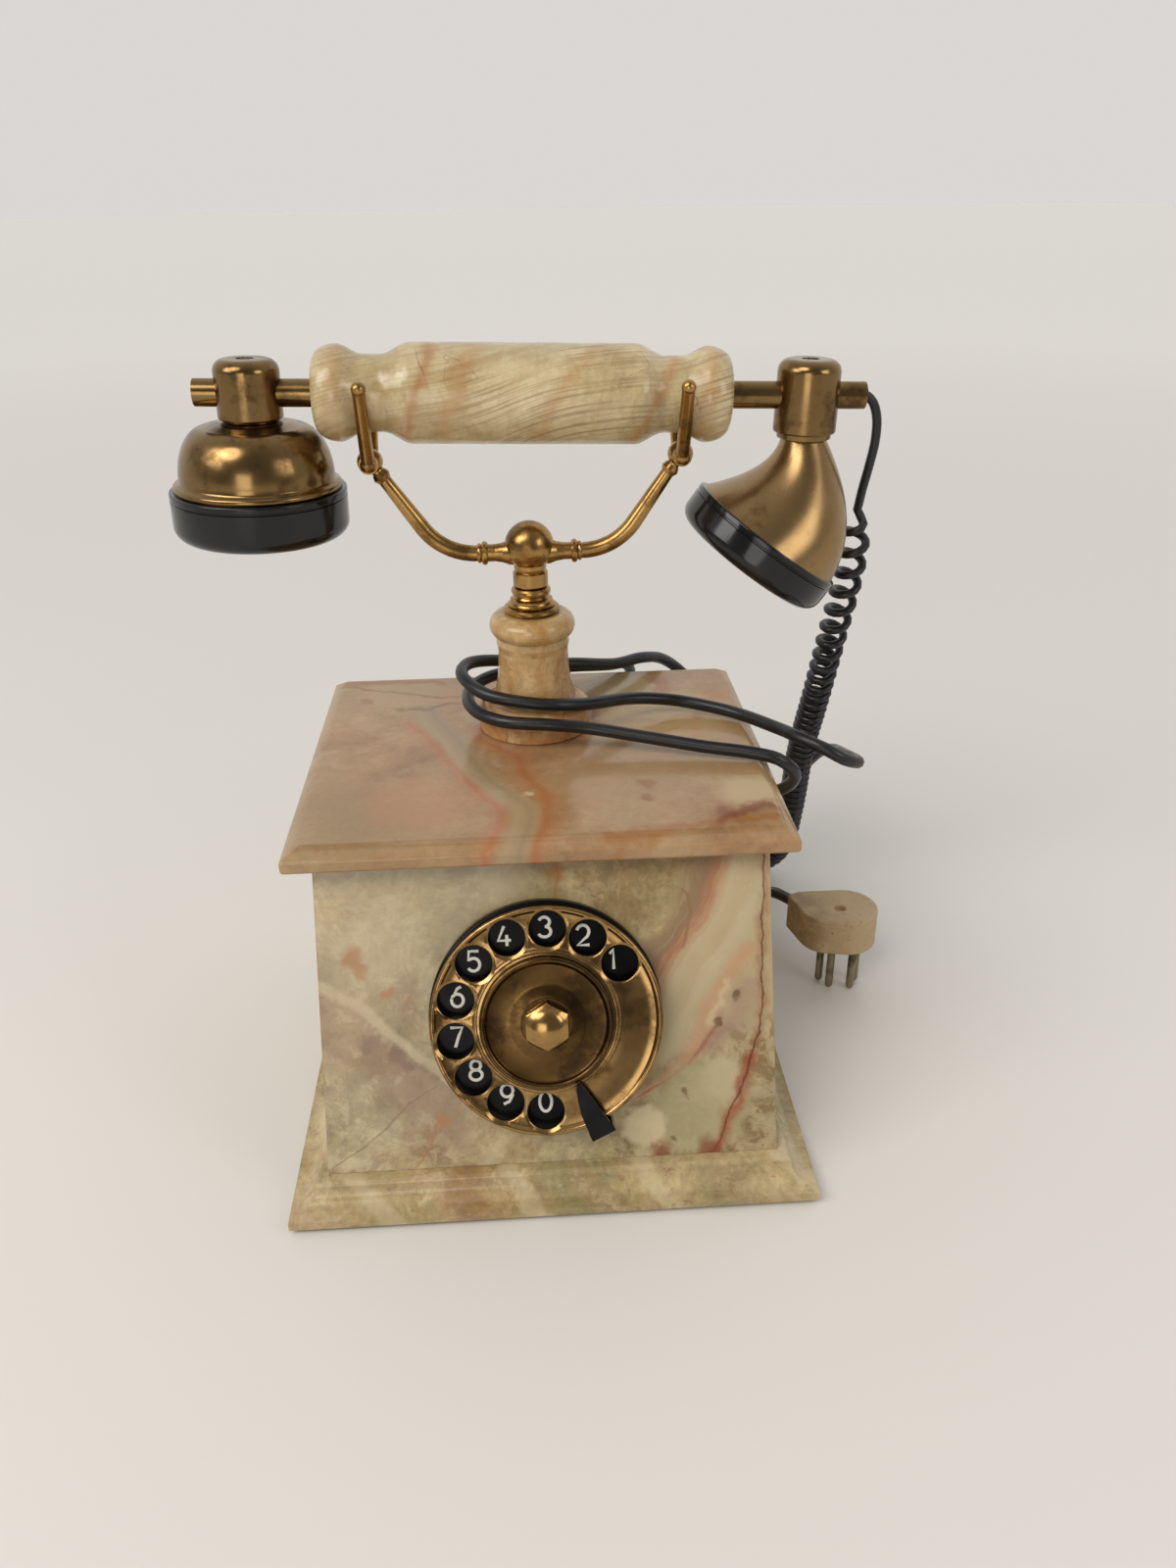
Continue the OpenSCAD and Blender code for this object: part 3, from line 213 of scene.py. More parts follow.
# %% Coil of the handset cord
def coiled(route, lead_r, outer_r):
    """Points of a wire wound round the route: open turns at the top that close to touching ones."""
    middle = smooth_route(route, 1.0)
    far = [0.0]
    for a, b in zip(middle, middle[1:]):
        far.append(far[-1] + (b - a).length)
    total = far[-1]
    side = Vector((1, 0, 0))
    points, turned, at, k = [], 0.0, 0.0, 0
    tangents = [(b - a).normalized() for a, b in zip(middle, middle[1:])]
    tangents.append(tangents[-1])
    while at < total:
        while k < len(far) - 2 and far[k + 1] < at:
            side = (side - side.dot(tangents[k + 1]) * tangents[k + 1]).normalized()
            k += 1
        along = tangents[k]
        side = (side - side.dot(along) * along).normalized()
        across = along.cross(side)
        centre = middle[k] + (at - far[k]) * along
        grown = min(1, at / 7, (total - at) / 16)
        grown = grown * grown * (3 - 2 * grown)
        reach = (outer_r - lead_r) * grown
        points.append(centre + reach * (cos(turned) * side + sin(turned) * across))
        open_share = max(0, min(1, (105 - at) / 60))
        pitch = 3.42 + 5.6 * open_share + 30 * (1 - grown)
        turned += tau / 14
        at += pitch / 14
    return points + [middle[-1]]


COIL_WIRE = coiled(COIL, LEAD_R, COIL_R - 0.3)
print("coiled cord", round(length_of(COIL_WIRE)), "mm of wire in", len(COIL_WIRE) // 14, "turns")


# %% Draw the cords
def round_strokes(name, strokes, radius):
    """A mesh of round strokes; each stroke is a line of places in metres, the radius in millimetres."""
    clear_selection()
    curve = bpy.data.curves.new(name, "CURVE")
    curve.dimensions = "3D"
    for stroke in strokes:
        spline = curve.splines.new("POLY")
        spline.points.add(len(stroke) - 1)
        for point, place in zip(spline.points, stroke):
            point.co = (*place, 1)
    curve.bevel_depth, curve.bevel_resolution, curve.use_fill_caps = radius * MM, 3, True
    piece = bpy.data.objects.new(name, curve)
    scene.collection.objects.link(piece)
    only(piece)
    bpy.ops.object.convert(target="MESH")
    return bpy.context.object


def cord(name, points, radius):
    piece = round_strokes(name, [[p * MM for p in points]], radius)
    bpy.ops.object.shade_smooth()
    return piece


line_points = smooth_route(LINE, 3)
line_cord = cord("line_cord_sheath", line_points, LINE_R)
lead_and_coil = smooth_route([ROD_END] + LEAD, 2)[:-1] + COIL_WIRE
handset_cord = cord("handset_cord_wire", lead_and_coil, LEAD_R)
print("drawn:", len(line_cord.data.polygons), "and", len(handset_cord.data.polygons), "faces")


# %% [markdown]
# ## Light and floor
# A plain studio: a pale room for soft shade, one wide sun from the front left for soft shadows, and
# three softboxes that the polished stone and the brass can mirror. A bright room alone would make
# brass look flat, so the room is darker behind the viewer.


# %% Room, lamps and floor
def wire(tree, kind, settings=None, **inputs):
    """A node with its settings; an input is a value or another node's output."""
    node = tree.nodes.new(kind)
    for key, value in (settings or {}).items():
        setattr(node, key, value)
    for key, value in inputs.items():
        by_number = key[0] == "i" and key[1:].isdigit()
        socket = node.inputs[int(key[1:]) if by_number else key.replace("_", " ")]
        if isinstance(value, bpy.types.NodeSocket):
            tree.links.new(value, socket)
        else:
            socket.default_value = value
    return node


def room():
    """Pale behind the telephone and overhead, darker behind the viewer, for brass to mirror."""
    world = bpy.data.worlds.new("studio")
    scene.world = world
    world.use_nodes = True
    tree = world.node_tree
    tree.nodes.clear()
    split = wire(tree, "ShaderNodeSeparateXYZ", i0=wire(tree, "ShaderNodeTexCoord").outputs["Generated"])
    shade = wire(tree, "ShaderNodeValToRGB", i0=wire(tree, "ShaderNodeMapRange", i0=split.outputs[1],
        i1=-0.7, i2=0.5).outputs[0])
    for element, (position, colour) in zip(shade.color_ramp.elements,
            ((0.0, (0.19, 0.18, 0.17, 1)), (1.0, (0.78, 0.77, 0.75, 1)))):
        element.position, element.color = position, colour
    seen = wire(tree, "ShaderNodeMix", {"data_type": "RGBA"},
        i0=wire(tree, "ShaderNodeLightPath").outputs["Is Camera Ray"])
    tree.links.new(shade.outputs[0], seen.inputs[6])
    seen.inputs[7].default_value = (0.70, 0.68, 0.655, 1)
    light = wire(tree, "ShaderNodeBackground", i0=seen.outputs[2])
    out = wire(tree, "ShaderNodeOutputWorld")
    tree.links.new(light.outputs[0], out.inputs[0])


def lamp(kind, name, place, aim, **settings):
    bpy.ops.object.light_add(type=kind, location=place)
    made = bpy.context.object
    made.name = name
    made.rotation_euler = (Vector(aim) - Vector(place)).to_track_quat("-Z", "Y").to_euler()
    for key, value in settings.items():
        setattr(made.data, key, value)
    return made


clear_selection()
room()
lamp("SUN", "key_sun", (-0.5, -0.6, 1.0), (0, 0, 0.1), energy=1.0, angle=radians(30), color=(1, 0.95, 0.88))
lamp("AREA", "left_softbox", (-0.75, -0.35, 0.75), (0, 0, 0.18), energy=3, size=0.45, color=(1, 0.97, 0.92))
lamp("AREA", "window_behind_viewer", (-0.30, -1.3, 0.30), (0, 0, 0.1), energy=1.9, size=0.5,
    color=(1, 0.96, 0.90))
lamp("AREA", "right_softbox", (0.75, -0.55, 0.55), (0, 0, 0.15), energy=1.5, size=0.4,
    color=(1, 0.97, 0.92))

clear_selection()
bpy.ops.mesh.primitive_circle_add(vertices=64, radius=12, fill_type="NGON", location=(0, 0, 0))
floor = bpy.context.object
floor.name = "studio_floor"
floor_paint = bpy.data.materials.new("studio_floor_paint")
floor_paint.use_nodes = True
tree = floor_paint.node_tree
away = wire(tree, "ShaderNodeVectorMath", {"operation": "LENGTH"},
    i0=wire(tree, "ShaderNodeTexCoord").outputs["Object"]).outputs["Value"]
paint = wire(tree, "ShaderNodeMix", {"data_type": "RGBA"},
    i0=wire(tree, "ShaderNodeMapRange", i0=away, i1=0.4, i2=2.2).outputs[0])
paint.inputs[6].default_value, paint.inputs[7].default_value = (0.74, 0.72, 0.69, 1), (0.92, 0.90, 0.87, 1)
tree.links.new(paint.outputs[2], tree.nodes["Principled BSDF"].inputs["Base Color"])
tree.nodes["Principled BSDF"].inputs["Roughness"].default_value = 0.5
floor.data.materials.append(floor_paint)

# %% [markdown]
# ## Finishes
# A finish is a node material. Each pattern reads Object coordinates, which are the frame's own metres,
# so a vein can be put at a place on the stone. The class below wires the few steps that the patterns
# share: noise, warping, colour ramps, streaks along a route, spots and bump.


# %% The Finish class
class Finish:
    def __init__(self, name, **settings):
        self.material = bpy.data.materials.new(name)
        self.material.use_nodes = True
        self.tree = self.material.node_tree
        self.shader = self.tree.nodes["Principled BSDF"]
        for key, value in settings.items():
            self.shader.inputs[key.replace("_", " ")].default_value = value
        self.place = wire(self.tree, "ShaderNodeTexCoord").outputs["Object"]

    def sums(self, kind, a, b=0.0):
        node = wire(self.tree, "ShaderNodeMath", {"operation": kind}, i0=a)
        if kind not in ("ABSOLUTE", "SINE"):
            if isinstance(b, bpy.types.NodeSocket):
                self.tree.links.new(b, node.inputs[1])
            else:
                node.inputs[1].default_value = b
        return node.outputs[0]

    def times(self, a, b):
        return self.sums("MULTIPLY", a, b)

    def fit(self, value, low, high, to_low=0.0, to_high=1.0, smooth=True):
        kind = "SMOOTHSTEP" if smooth else "LINEAR"
        return wire(self.tree, "ShaderNodeMapRange", {"interpolation_type": kind}, i0=value, i1=low,
            i2=high, i3=to_low, i4=to_high).outputs[0]

    def noise(self, size, detail=4.0, rough=0.55, at=None, stretch=None, twist=0.0, kind="Fac"):
        """Cloudy noise whose blobs are about size millimetres across."""
        at = self.place if at is None else at
        if stretch:
            at = wire(self.tree, "ShaderNodeMapping", i0=at, Scale=stretch).outputs[0]
        return wire(self.tree, "ShaderNodeTexNoise", i2=1000 / size, Vector=at, Detail=detail,
            Roughness=rough, Distortion=twist).outputs[kind]

    def warped(self, amount, size, at=None, detail=3.0):
        """The place, moved about by up to amount millimetres."""
        at = self.place if at is None else at
        sway = wire(self.tree, "ShaderNodeVectorMath", {"operation": "SUBTRACT"},
            i0=self.noise(size, detail, at=at, kind="Color"), i1=(0.5, 0.5, 0.5)).outputs[0]
        sway = wire(self.tree, "ShaderNodeVectorMath", {"operation": "SCALE"}, i0=sway,
            Scale=2 * amount * MM).outputs[0]
        return wire(self.tree, "ShaderNodeVectorMath", {"operation": "ADD"}, i0=at, i1=sway).outputs[0]

    def along(self, direction, at=None, start=(0, 0, 0)):
        """How many millimetres the place is along a direction from start."""
        at = self.place if at is None else at
        moved = wire(self.tree, "ShaderNodeVectorMath", {"operation": "SUBTRACT"}, i0=at,
            i1=Vector(start) * MM).outputs[0]
        dot = wire(self.tree, "ShaderNodeVectorMath", {"operation": "DOT_PRODUCT"}, i0=moved,
            i1=Vector(direction).normalized() * 1000)
        return dot.outputs["Value"]

    def grain(self, across, along, size, ratio=8.0, detail=4.0):
        """Noise drawn out along a route: size millimetres across it and ratio times that along it."""
        flat = wire(self.tree, "ShaderNodeCombineXYZ", i0=across,
            i1=self.sums("DIVIDE", along, ratio)).outputs[0]
        return wire(self.tree, "ShaderNodeTexNoise", i2=1 / size, Vector=flat, Detail=detail,
            Roughness=0.6).outputs[0]

    def away_from(self, along, across, route):
        """How many millimetres across lies beyond a route of (along, across) places."""
        return self.sums("SUBTRACT", across, self.route_line(along, route)[0])

    def route_line(self, along, route):
        """How far across the route lies at each place along it, and the route's lowest and highest."""
        lows = (min(p[0] for p in route), min(p[1] for p in route))
        highs = (max(p[0] for p in route), max(p[1] for p in route))
        spans = [max(1e-3, b - a) for a, b in zip(lows, highs)]
        node = wire(self.tree, "ShaderNodeFloatCurve", i1=self.fit(along, lows[0], highs[0], smooth=False))
        curve = node.mapping.curves[0]
        places = sorted(((p[0] - lows[0]) / spans[0], (p[1] - lows[1]) / spans[1]) for p in route)
        while len(curve.points) < len(places):
            curve.points.new(0.5, 0.5)
        for point, place in zip(curve.points, places):
            point.location = place
        node.mapping.update()
        line = self.sums("MULTIPLY_ADD", node.outputs[0], spans[1])
        line.node.inputs[2].default_value = lows[1]
        return line, lows, highs

    def ramp(self, value, *stops):
        node = wire(self.tree, "ShaderNodeValToRGB", i0=value)
        elements = node.color_ramp.elements
        while len(elements) < len(stops):
            elements.new(0.5)
        for element, (position, colour) in zip(elements, stops):
            element.position = position
        for element, (position, colour) in zip(elements, stops):
            element.color = (*colour, 1)
        return node.outputs[0]

    def mix(self, share, a, b, kind="MIX"):
        def full(c):
            return c if isinstance(c, bpy.types.NodeSocket) else (*c, 1)
        node = wire(self.tree, "ShaderNodeMix", {"data_type": "RGBA", "blend_type": kind})
        for socket, value in ((node.inputs[0], share), (node.inputs[6], full(a)),
                (node.inputs[7], full(b))):
            if isinstance(value, bpy.types.NodeSocket):
                self.tree.links.new(value, socket)
            else:
                socket.default_value = value
        return node.outputs[2]

    def streak(self, along, across, route, width, soft=1.0):
        """1 near a route of (along, across) places in millimetres, fading to 0 beyond width."""
        line, lows, highs = self.route_line(along, route)
        away = self.sums("ABSOLUTE", self.sums("SUBTRACT", across, line))
        inside = self.fit(away, width + soft, width - soft)
        ends = self.times(self.fit(along, lows[0] - 2, lows[0] + 2),
            self.fit(along, highs[0] + 2, highs[0] - 2))
        return self.times(inside, ends)

    def spot(self, a, b, centre, size, soft=0.5):
        """1 round a centre on the plane of a and b, 0 beyond size millimetres; soft is the faded share."""
        da, db = self.sums("SUBTRACT", a, centre[0]), self.sums("SUBTRACT", b, centre[1])
        away = self.sums("SQRT", self.sums("ADD", self.times(da, da), self.times(db, db)))
        return self.fit(away, size * (1 + soft), size * (1 - soft))

    def lay(self, mask, share, colour):
        """Lays a share of a colour over the ground where the mask is 1."""
        self.ground = self.mix(self.times(mask, share), self.ground, colour)

    def streaks(self, along, across, *rows):
        for route, width, soft, share, colour in rows:
            self.lay(self.streak(along, across, route, width, soft), share, colour)

    def spots(self, a, b, *rows):
        for centre, size, soft, share, colour in rows:
            self.lay(self.spot(a, b, centre, size, soft), share, colour)

    def colour(self, value):
        self.tree.links.new(value, self.shader.inputs["Base Color"])

    def roughness(self, value):
        self.tree.links.new(value, self.shader.inputs["Roughness"])

    def bump(self, height, depth=0.05, strength=0.5):
        node = wire(self.tree, "ShaderNodeBump", Height=height, Strength=strength, Distance=depth * MM)
        self.tree.links.new(node.outputs[0], self.shader.inputs["Normal"])


def tone(red, green, blue):
    """A colour as the eye reads it on a screen, 0 to 255, turned to light."""
    return tuple((v / 255 / 12.92) if v < 10.3 else ((v / 255 + 0.055) / 1.055) ** 2.4
        for v in (red, green, blue))


print("a finish is ready; mid cream is", tuple(round(v, 2) for v in tone(190, 180, 150)))

# %% [markdown]
# ## Onyx
# Onyx is banded calcite: cream to green, with clouds, rust spots and pink bands, polished like glass.
# It could be wrapped as an image, but then every side would repeat. Solid noise runs through the stone
# as it does in a real block, and the few bands that the eye remembers are drawn on each slab.

# %% Stone colours
CREAM = tone(182, 163, 122)
PALE = tone(205, 189, 152)
GREEN = tone(142, 134, 94)
TAN = tone(154, 127, 88)
BROWN = tone(114, 84, 52)
OCHRE = tone(158, 104, 46)
RUST = tone(126, 62, 34)
PINK = tone(182, 142, 116)


def clouded_stone(name, size=26.0, lows=(BROWN, TAN), highs=(CREAM, PALE), green=0.5, stretch=None,
        milk=0.5, mottle=0.34):
    """The stone's ground: large clouds, ragged milky patches, fine mottling and a greenish cast in places."""
    stone = Finish(name, Coat_Weight=0.12, Coat_Roughness=0.05)
    stone.moved = stone.warped(8, 30, detail=6)
    cloud = stone.noise(size, 8, 0.66, at=stone.moved, stretch=stretch)
    ground = stone.ramp(cloud, (0.28, lows[0]), (0.41, lows[1]), (0.50, highs[0]), (0.68, highs[1]))
    tint = stone.fit(stone.noise(46, 4, at=stone.moved), 0.44, 0.60, 0, green)
    ground = stone.mix(tint, ground, GREEN)
    patch = stone.fit(stone.noise(size * 0.62, 9, 0.70, at=stone.moved, stretch=stretch), 0.53, 0.575)
    ground = stone.mix(stone.times(patch, milk), ground, PALE)
    fine = stone.noise(3.2, 8, 0.74, at=stone.moved)
    ground = stone.mix(mottle, ground, stone.ramp(fine, (0.32, tone(108, 86, 60)),
        (0.68, tone(250, 246, 232))), "OVERLAY")
    specks = stone.times(stone.fit(stone.noise(0.9, 4, 0.7), 0.66, 0.72),
        stone.fit(stone.noise(16, 3), 0.5, 0.62))
    stone.ground = stone.mix(stone.times(specks, 0.7), ground, tone(96, 70, 46))
    return stone


def rust_spots(stone, share, size, amount):
    """Ochre and rust spots, gathered where a larger noise is high."""
    where = stone.fit(stone.noise(size * 3.2, 2), share - 0.1, share + 0.04)
    grain = stone.fit(stone.noise(size / 3, 6, 0.7, at=stone.moved), 0.56, 0.66)
    stone.lay(stone.times(where, grain), amount, stone.ramp(stone.noise(5), (0.35, OCHRE), (0.65, RUST)))


def cracks(stone, size, width, amount, tint):
    """Thin brown lines where a warped noise crosses its middle."""
    line = stone.sums("ABSOLUTE", stone.sums("SUBTRACT",
        stone.noise(size, 2, 0.4, at=stone.moved, twist=0.6), 0.5))
    mask = stone.fit(line, width, width * 0.25)
    patchy = stone.fit(stone.noise(size * 0.8, 2), 0.46, 0.58)
    stone.lay(stone.times(mask, patchy), amount, tint)


def polish(stone):
    """Hands the colour over, with faint wear in the gloss and shallow pits from a fine noise all over."""
    stone.colour(stone.ground)
    wear = stone.noise(18, 6, 0.7)
    stone.roughness(stone.fit(wear, 0.3, 0.75, 0.12, 0.32))
    stone.bump(stone.noise(2.2, 4, 0.6), 0.015, 0.2)
    return stone.material


print("stone colours ready")


# %% Front slab
def front_stone():
    """The face with the dial: a pale ridge and fissures on the left, bands sweeping down the right."""
    stone = clouded_stone("onyx_front", 28, milk=0.35)
    sway = stone.warped(2.4, 10, detail=7)
    u = stone.along((1, 0, 0), at=sway)
    v = stone.along((0, sin(LEAN), cos(LEAN)), at=sway, start=(0, -85.5, 13.2))
    rough = stone.warped(5, 8, detail=8)
    ru = stone.along((1, 0, 0), at=rough)
    rv = stone.along((0, sin(LEAN), cos(LEAN)), at=rough, start=(0, -85.5, 13.2))
    lay, streak, spot, fit, times = stone.lay, stone.streak, stone.spot, stone.fit, stone.times
    ridge = stone.away_from(u, v, [(-80, 65), (-64, 56), (-51, 44), (-38, 33), (-20, 20)])
    under = times(fit(ridge, 1, -2), fit(ru, -22, -34))
    lay(times(under, fit(ridge, -34, -14)), 0.72, tone(142, 112, 81))
    lay(times(fit(ridge, 4.5, 1.5), fit(ridge, -2.5, -0.5)), 0.6, PALE)
    stone.spots(ru, rv,
        ((-44, 90), 26, 0.6, 0.35, tone(152, 134, 96)),
        ((-60, 70), 13, 0.7, 0.4, PALE),
        ((-70, 50), 12, 0.7, 0.4, tone(186, 154, 111)),
        ((-14, 97), 9, 0.6, 0.5, PALE))
    lay(streak(u, v, [(-80, 5), (-60, 1), (-46, -4)], 2.2, 1.2), 0.6, PALE)
    lay(streak(rv, ru, [(-2, -24), (8, -16)], 2.5, 2.5), 0.55, PALE)
    sweep = [(104, 62), (98.5, 59.6), (83.5, 54), (73.5, 47), (67, 41.5), (52, 33), (34, 24)]
    band = stone.away_from(v, u, sweep)
    fibres = stone.grain(band, v, 1.5, 14)
    band = stone.sums("ADD", band, times(stone.sums("SUBTRACT", fibres, 0.5), 4))
    profile = stone.ramp(fit(band, -16, 24, smooth=False), (0.0, CREAM), (0.10, tone(160, 134, 101)),
        (0.26, tone(150, 121, 93)), (0.36, tone(179, 125, 93)), (0.44, tone(196, 159, 124)),
        (0.50, tone(205, 186, 151)), (0.66, tone(196, 177, 139)), (0.76, tone(205, 188, 154)),
        (1.0, tone(190, 172, 133)))
    beside = times(fit(band, -17, -8), fit(rv, 26, 40))
    lay(beside, 0.9, profile)
    lay(times(beside, fit(fibres, 0.50, 0.60)), 0.16, PALE)
    ragged = stone.noise(8, 9, 0.72, at=stone.moved)
    low_right = times(fit(stone.away_from(v, u, [(60, 62), (40, 50), (25, 30), (0, 14)]), -2, 6),
        fit(rv, 52, 40))
    lay(times(low_right, fit(ragged, 0.50, 0.57)), 0.62, tone(128, 104, 70))
    lay(times(low_right, fit(ragged, 0.46, 0.43)), 0.55, PALE)
    lay(times(under, fit(ragged, 0.48, 0.64)), 0.45, tone(124, 94, 64))
    lay(times(under, fit(ragged, 0.46, 0.36)), 0.35, PALE)
    lay(times(fit(u, 34, 66), fit(v, 50, 12)), 0.22, tone(78, 56, 36))
    # this mask is 1 on the whole slab, so the whole front slab is darkened a little towards dark brown
    lay(fit(v, -40, -30), 0.16, tone(70, 56, 36))
    second = [(72, 68), (65, 64), (52, 55), (43.5, 52.5), (31, 44), (23, 32.7), (19, 24)]
    lay(streak(v, u, second, 3.4, 3), 0.6, tone(196, 143, 110))
    stone.streaks(rv, ru,
        ([(60, 68), (50, 64), (43, 60), (34, 51)], 5, 4, 0.65, tone(163, 134, 115)),
        ([(59, 60), (52, 57), (44, 54.5)], 1.1, 1.2, 0.6, PALE))
    lay(streak(v, u, [(43, 55), (36, 50.5), (30, 45), (23.5, 35), (20, 27)], 0.8, 1.0), 0.7,
        tone(150, 80, 55))
    stone.spots(ru, rv,
        ((50, 16), 16, 0.22, 0.8, tone(169, 159, 121)),
        ((31, 11), 7, 0.25, 0.85, PALE),
        ((58, 26), 8, 0.6, 0.5, tone(196, 181, 146)))
    edge = [(104, 73), (98.5, 73.4), (81, 72.7), (65, 72), (46, 71), (32, 67.7), (23.5, 64), (11, 58.4),
        (1, 54), (-4, 52)]
    stone.streaks(rv, ru,
        (edge, 0.9, 2.6, 0.65, tone(142, 76, 40)),
        ([(34, 69), (26, 66), (18, 62), (8, 58), (-2, 53)], 2.2, 2.6, 0.6, tone(152, 65, 38)))
    lay(streak(v, u, edge, 0.25, 0.35), 0.9, tone(86, 47, 28))
    for place, size, colour in (((-64, 73), 3.6, OCHRE), ((-62, 69), 2.4, OCHRE), ((-53, 60), 1.8, OCHRE),
            ((-46, 58), 1.5, OCHRE), ((-60, 44), 2.8, BROWN), ((-51, 39), 3.0, BROWN),
            ((-48, 35), 2.2, BROWN), ((-37, 16), 2.6, OCHRE), ((3.4, 98), 2.8, OCHRE),
            ((63, 54), 1.6, tone(99, 67, 46)), ((57, 45), 1.4, tone(99, 67, 46)), ((36, 1), 3.4, RUST),
            ((52, 2), 4, RUST), ((27, 96), 3, tone(160, 129, 88)), ((44, 22), 1.0, BROWN),
            ((40, 6), 1.0, BROWN)):
        lay(spot(ru, rv, place, size, 0.55), 0.75, colour)
    for route, width, colour in (([(1.6, -75), (11, -60), (23.5, -46), (28.5, -38.5)], 0.28,
            tone(116, 67, 43)),
            ([(1, -46), (12, -40), (18.5, -37)], 0.45, OCHRE),
            ([(90, 3.6), (98, 4.2), (103, 5)], 0.35, OCHRE),
            ([(70, 44), (82, 48), (92, 43)], 0.5, tone(142, 110, 76))):
        lay(streak(v, u, route, width, 0.6), 0.8, colour)
    return polish(stone)


# %% Lid, plinth and side slabs
def lid_stone():
    """Warmer stone: a grey river with salmon banks winds from the pillar to the front edge."""
    stone = clouded_stone("onyx_lid", 44, (tone(138, 104, 70), tone(156, 121, 84)),
        (tone(168, 133, 95), tone(177, 145, 106)), 0.2, milk=0.12, mottle=0.16)
    sway = stone.warped(2.6, 14, detail=7)
    x, y = stone.along((1, 0, 0), at=sway), stone.along((0, 1, 0), at=sway)
    rough = stone.warped(5.5, 9, detail=8)
    rx, ry = stone.along((1, 0, 0), at=rough), stone.along((0, 1, 0), at=rough)
    lay, streak, spot, fit, times = stone.lay, stone.streak, stone.spot, stone.fit, stone.times
    lay(spot(x, y, (-62, -30), 24, 0.7), 0.5, tone(136, 110, 75))
    stone.spots(rx, ry,
        ((-42, -22), 17, 0.4, 0.5, tone(179, 128, 91)),
        ((-52, 74), 18, 0.45, 0.7, tone(186, 158, 117)),
        ((-32, 70), 10, 0.5, 0.6, tone(179, 138, 97)),
        ((34, 73), 16, 0.35, 0.95, tone(188, 164, 122)),
        ((52, 45), 24, 0.35, 0.85, tone(182, 155, 109)),
        ((24, 48), 14, 0.5, 0.6, tone(180, 152, 109)))
    lay(spot(x, y, (40, 0), 34, 0.4), 0.4, tone(166, 135, 102))
    lay(spot(rx, ry, (73, -24), 11, 0.35), 0.9, tone(188, 164, 122))
    river = [(60, -44), (46, -40), (30, -34), (14, -27), (-3, -22), (-19, -12), (-34, -5.5), (-47, -7),
        (-55, -12)]
    west = [(44, -50), (33, -43), (14, -34), (-3, -27), (-19, -20), (-30, -14), (-40, -14), (-55, -20)]
    east = [(40, -22), (28, -20), (17, -13), (8, -7), (-3, -5), (-12, -2.6), (-20, 2), (-34, 1.7),
        (-47, 0), (-55, -4)]
    stone.streaks(y, x,
        (east, 4.5, 4.5, 0.55, tone(170, 108, 67)),
        (west, 3.2, 4, 0.45, tone(180, 118, 79)),
        (river, 5.6, 2.4, 0.9, tone(162, 138, 104)),
        ([(p[0], p[1] + 2) for p in river], 1.0, 1.6, 0.5, tone(140, 120, 89)),
        ([(p[0], p[1] - 3) for p in river], 1.2, 1.6, 0.4, tone(175, 152, 115)),
        (west, 0.7, 2.0, 0.6, tone(175, 96, 58)),
        (east, 0.9, 2.4, 0.55, tone(160, 87, 48)))
    for route, width, colour in (([(-80, 84), (-60, 76), (-42, 70), (-22, 66)], 0.5, tone(117, 81, 45)),
            ([(-80, 87), (-56, 86), (-36, 83)], 2.4, tone(162, 111, 60)),
            ([(-56, 60), (-46, 57), (-34, 61), (-24, 56)], 0.8, tone(113, 81, 49)),
            ([(20, -50), (42, -47), (60, -43), (80, -41)], 2.2, tone(156, 102, 53)),
            ([(58, -43), (66, -38), (74, -34), (80, -33)], 2.6, tone(122, 56, 25)),
            ([(24, 62), (40, 60), (62, 55), (80, 48)], 1.2, tone(162, 118, 67)),
            ([(30, 40), (46, 37), (60, 41), (78, 36)], 1.4, tone(170, 135, 86))):
        lay(streak(rx, ry, route, width, 1.8), 0.75, colour)
    for place, size, colour in (((52, 76), 4, tone(160, 89, 51)), ((53, 69), 4.5, tone(170, 104, 64)),
            ((73, 62), 5, tone(172, 114, 55)), ((64, 41), 3, OCHRE), ((38, -15), 3.6, tone(142, 94, 58)),
            ((37, -25), 2.2, tone(136, 91, 57)), ((62, -38), 3.4, RUST), ((-4, -19), 1.4, PALE),
            ((60, 27), 3.2, tone(179, 131, 89)), ((-68, 66), 3, tone(154, 110, 62))):
        lay(spot(rx, ry, place, size, 0.5), 0.7, colour)
    return polish(stone)


def plain_stone(name, size=30, band=(0.3, -0.5, 1), warm=0.4, green=0.5):
    """Stone for the plinth, sides and back: slanting bands through the ground."""
    stone = clouded_stone(name, size, (tone(138, 110, 76), TAN),
        (tone(174, 154, 114), tone(190, 172, 134)), green, milk=0.4)
    across = stone.along(band, at=stone.warped(10, 36, detail=7))
    wave = stone.sums("SINE", stone.times(across, 0.17))
    stone.lay(stone.fit(wave, 0.62, 0.98), warm, PINK)
    stone.lay(stone.fit(wave, -0.75, -0.98), 0.5, PALE)
    rust_spots(stone, 0.60, 12, 0.6)
    cracks(stone, 60, 0.0028, 0.55, tone(133, 80, 45))
    return polish(stone)


front_onyx = front_stone()
lid_onyx = lid_stone()
plinth_onyx = plain_stone("onyx_plinth", 34, (0.6, 0.35, 0.4), 0.15, 0.8)
side_onyx = plain_stone("onyx_sides", 30, (0, 0.8, -0.7), 0.45, 0.4)
print("stone:", front_onyx.name, lid_onyx.name, plinth_onyx.name, side_onyx.name)


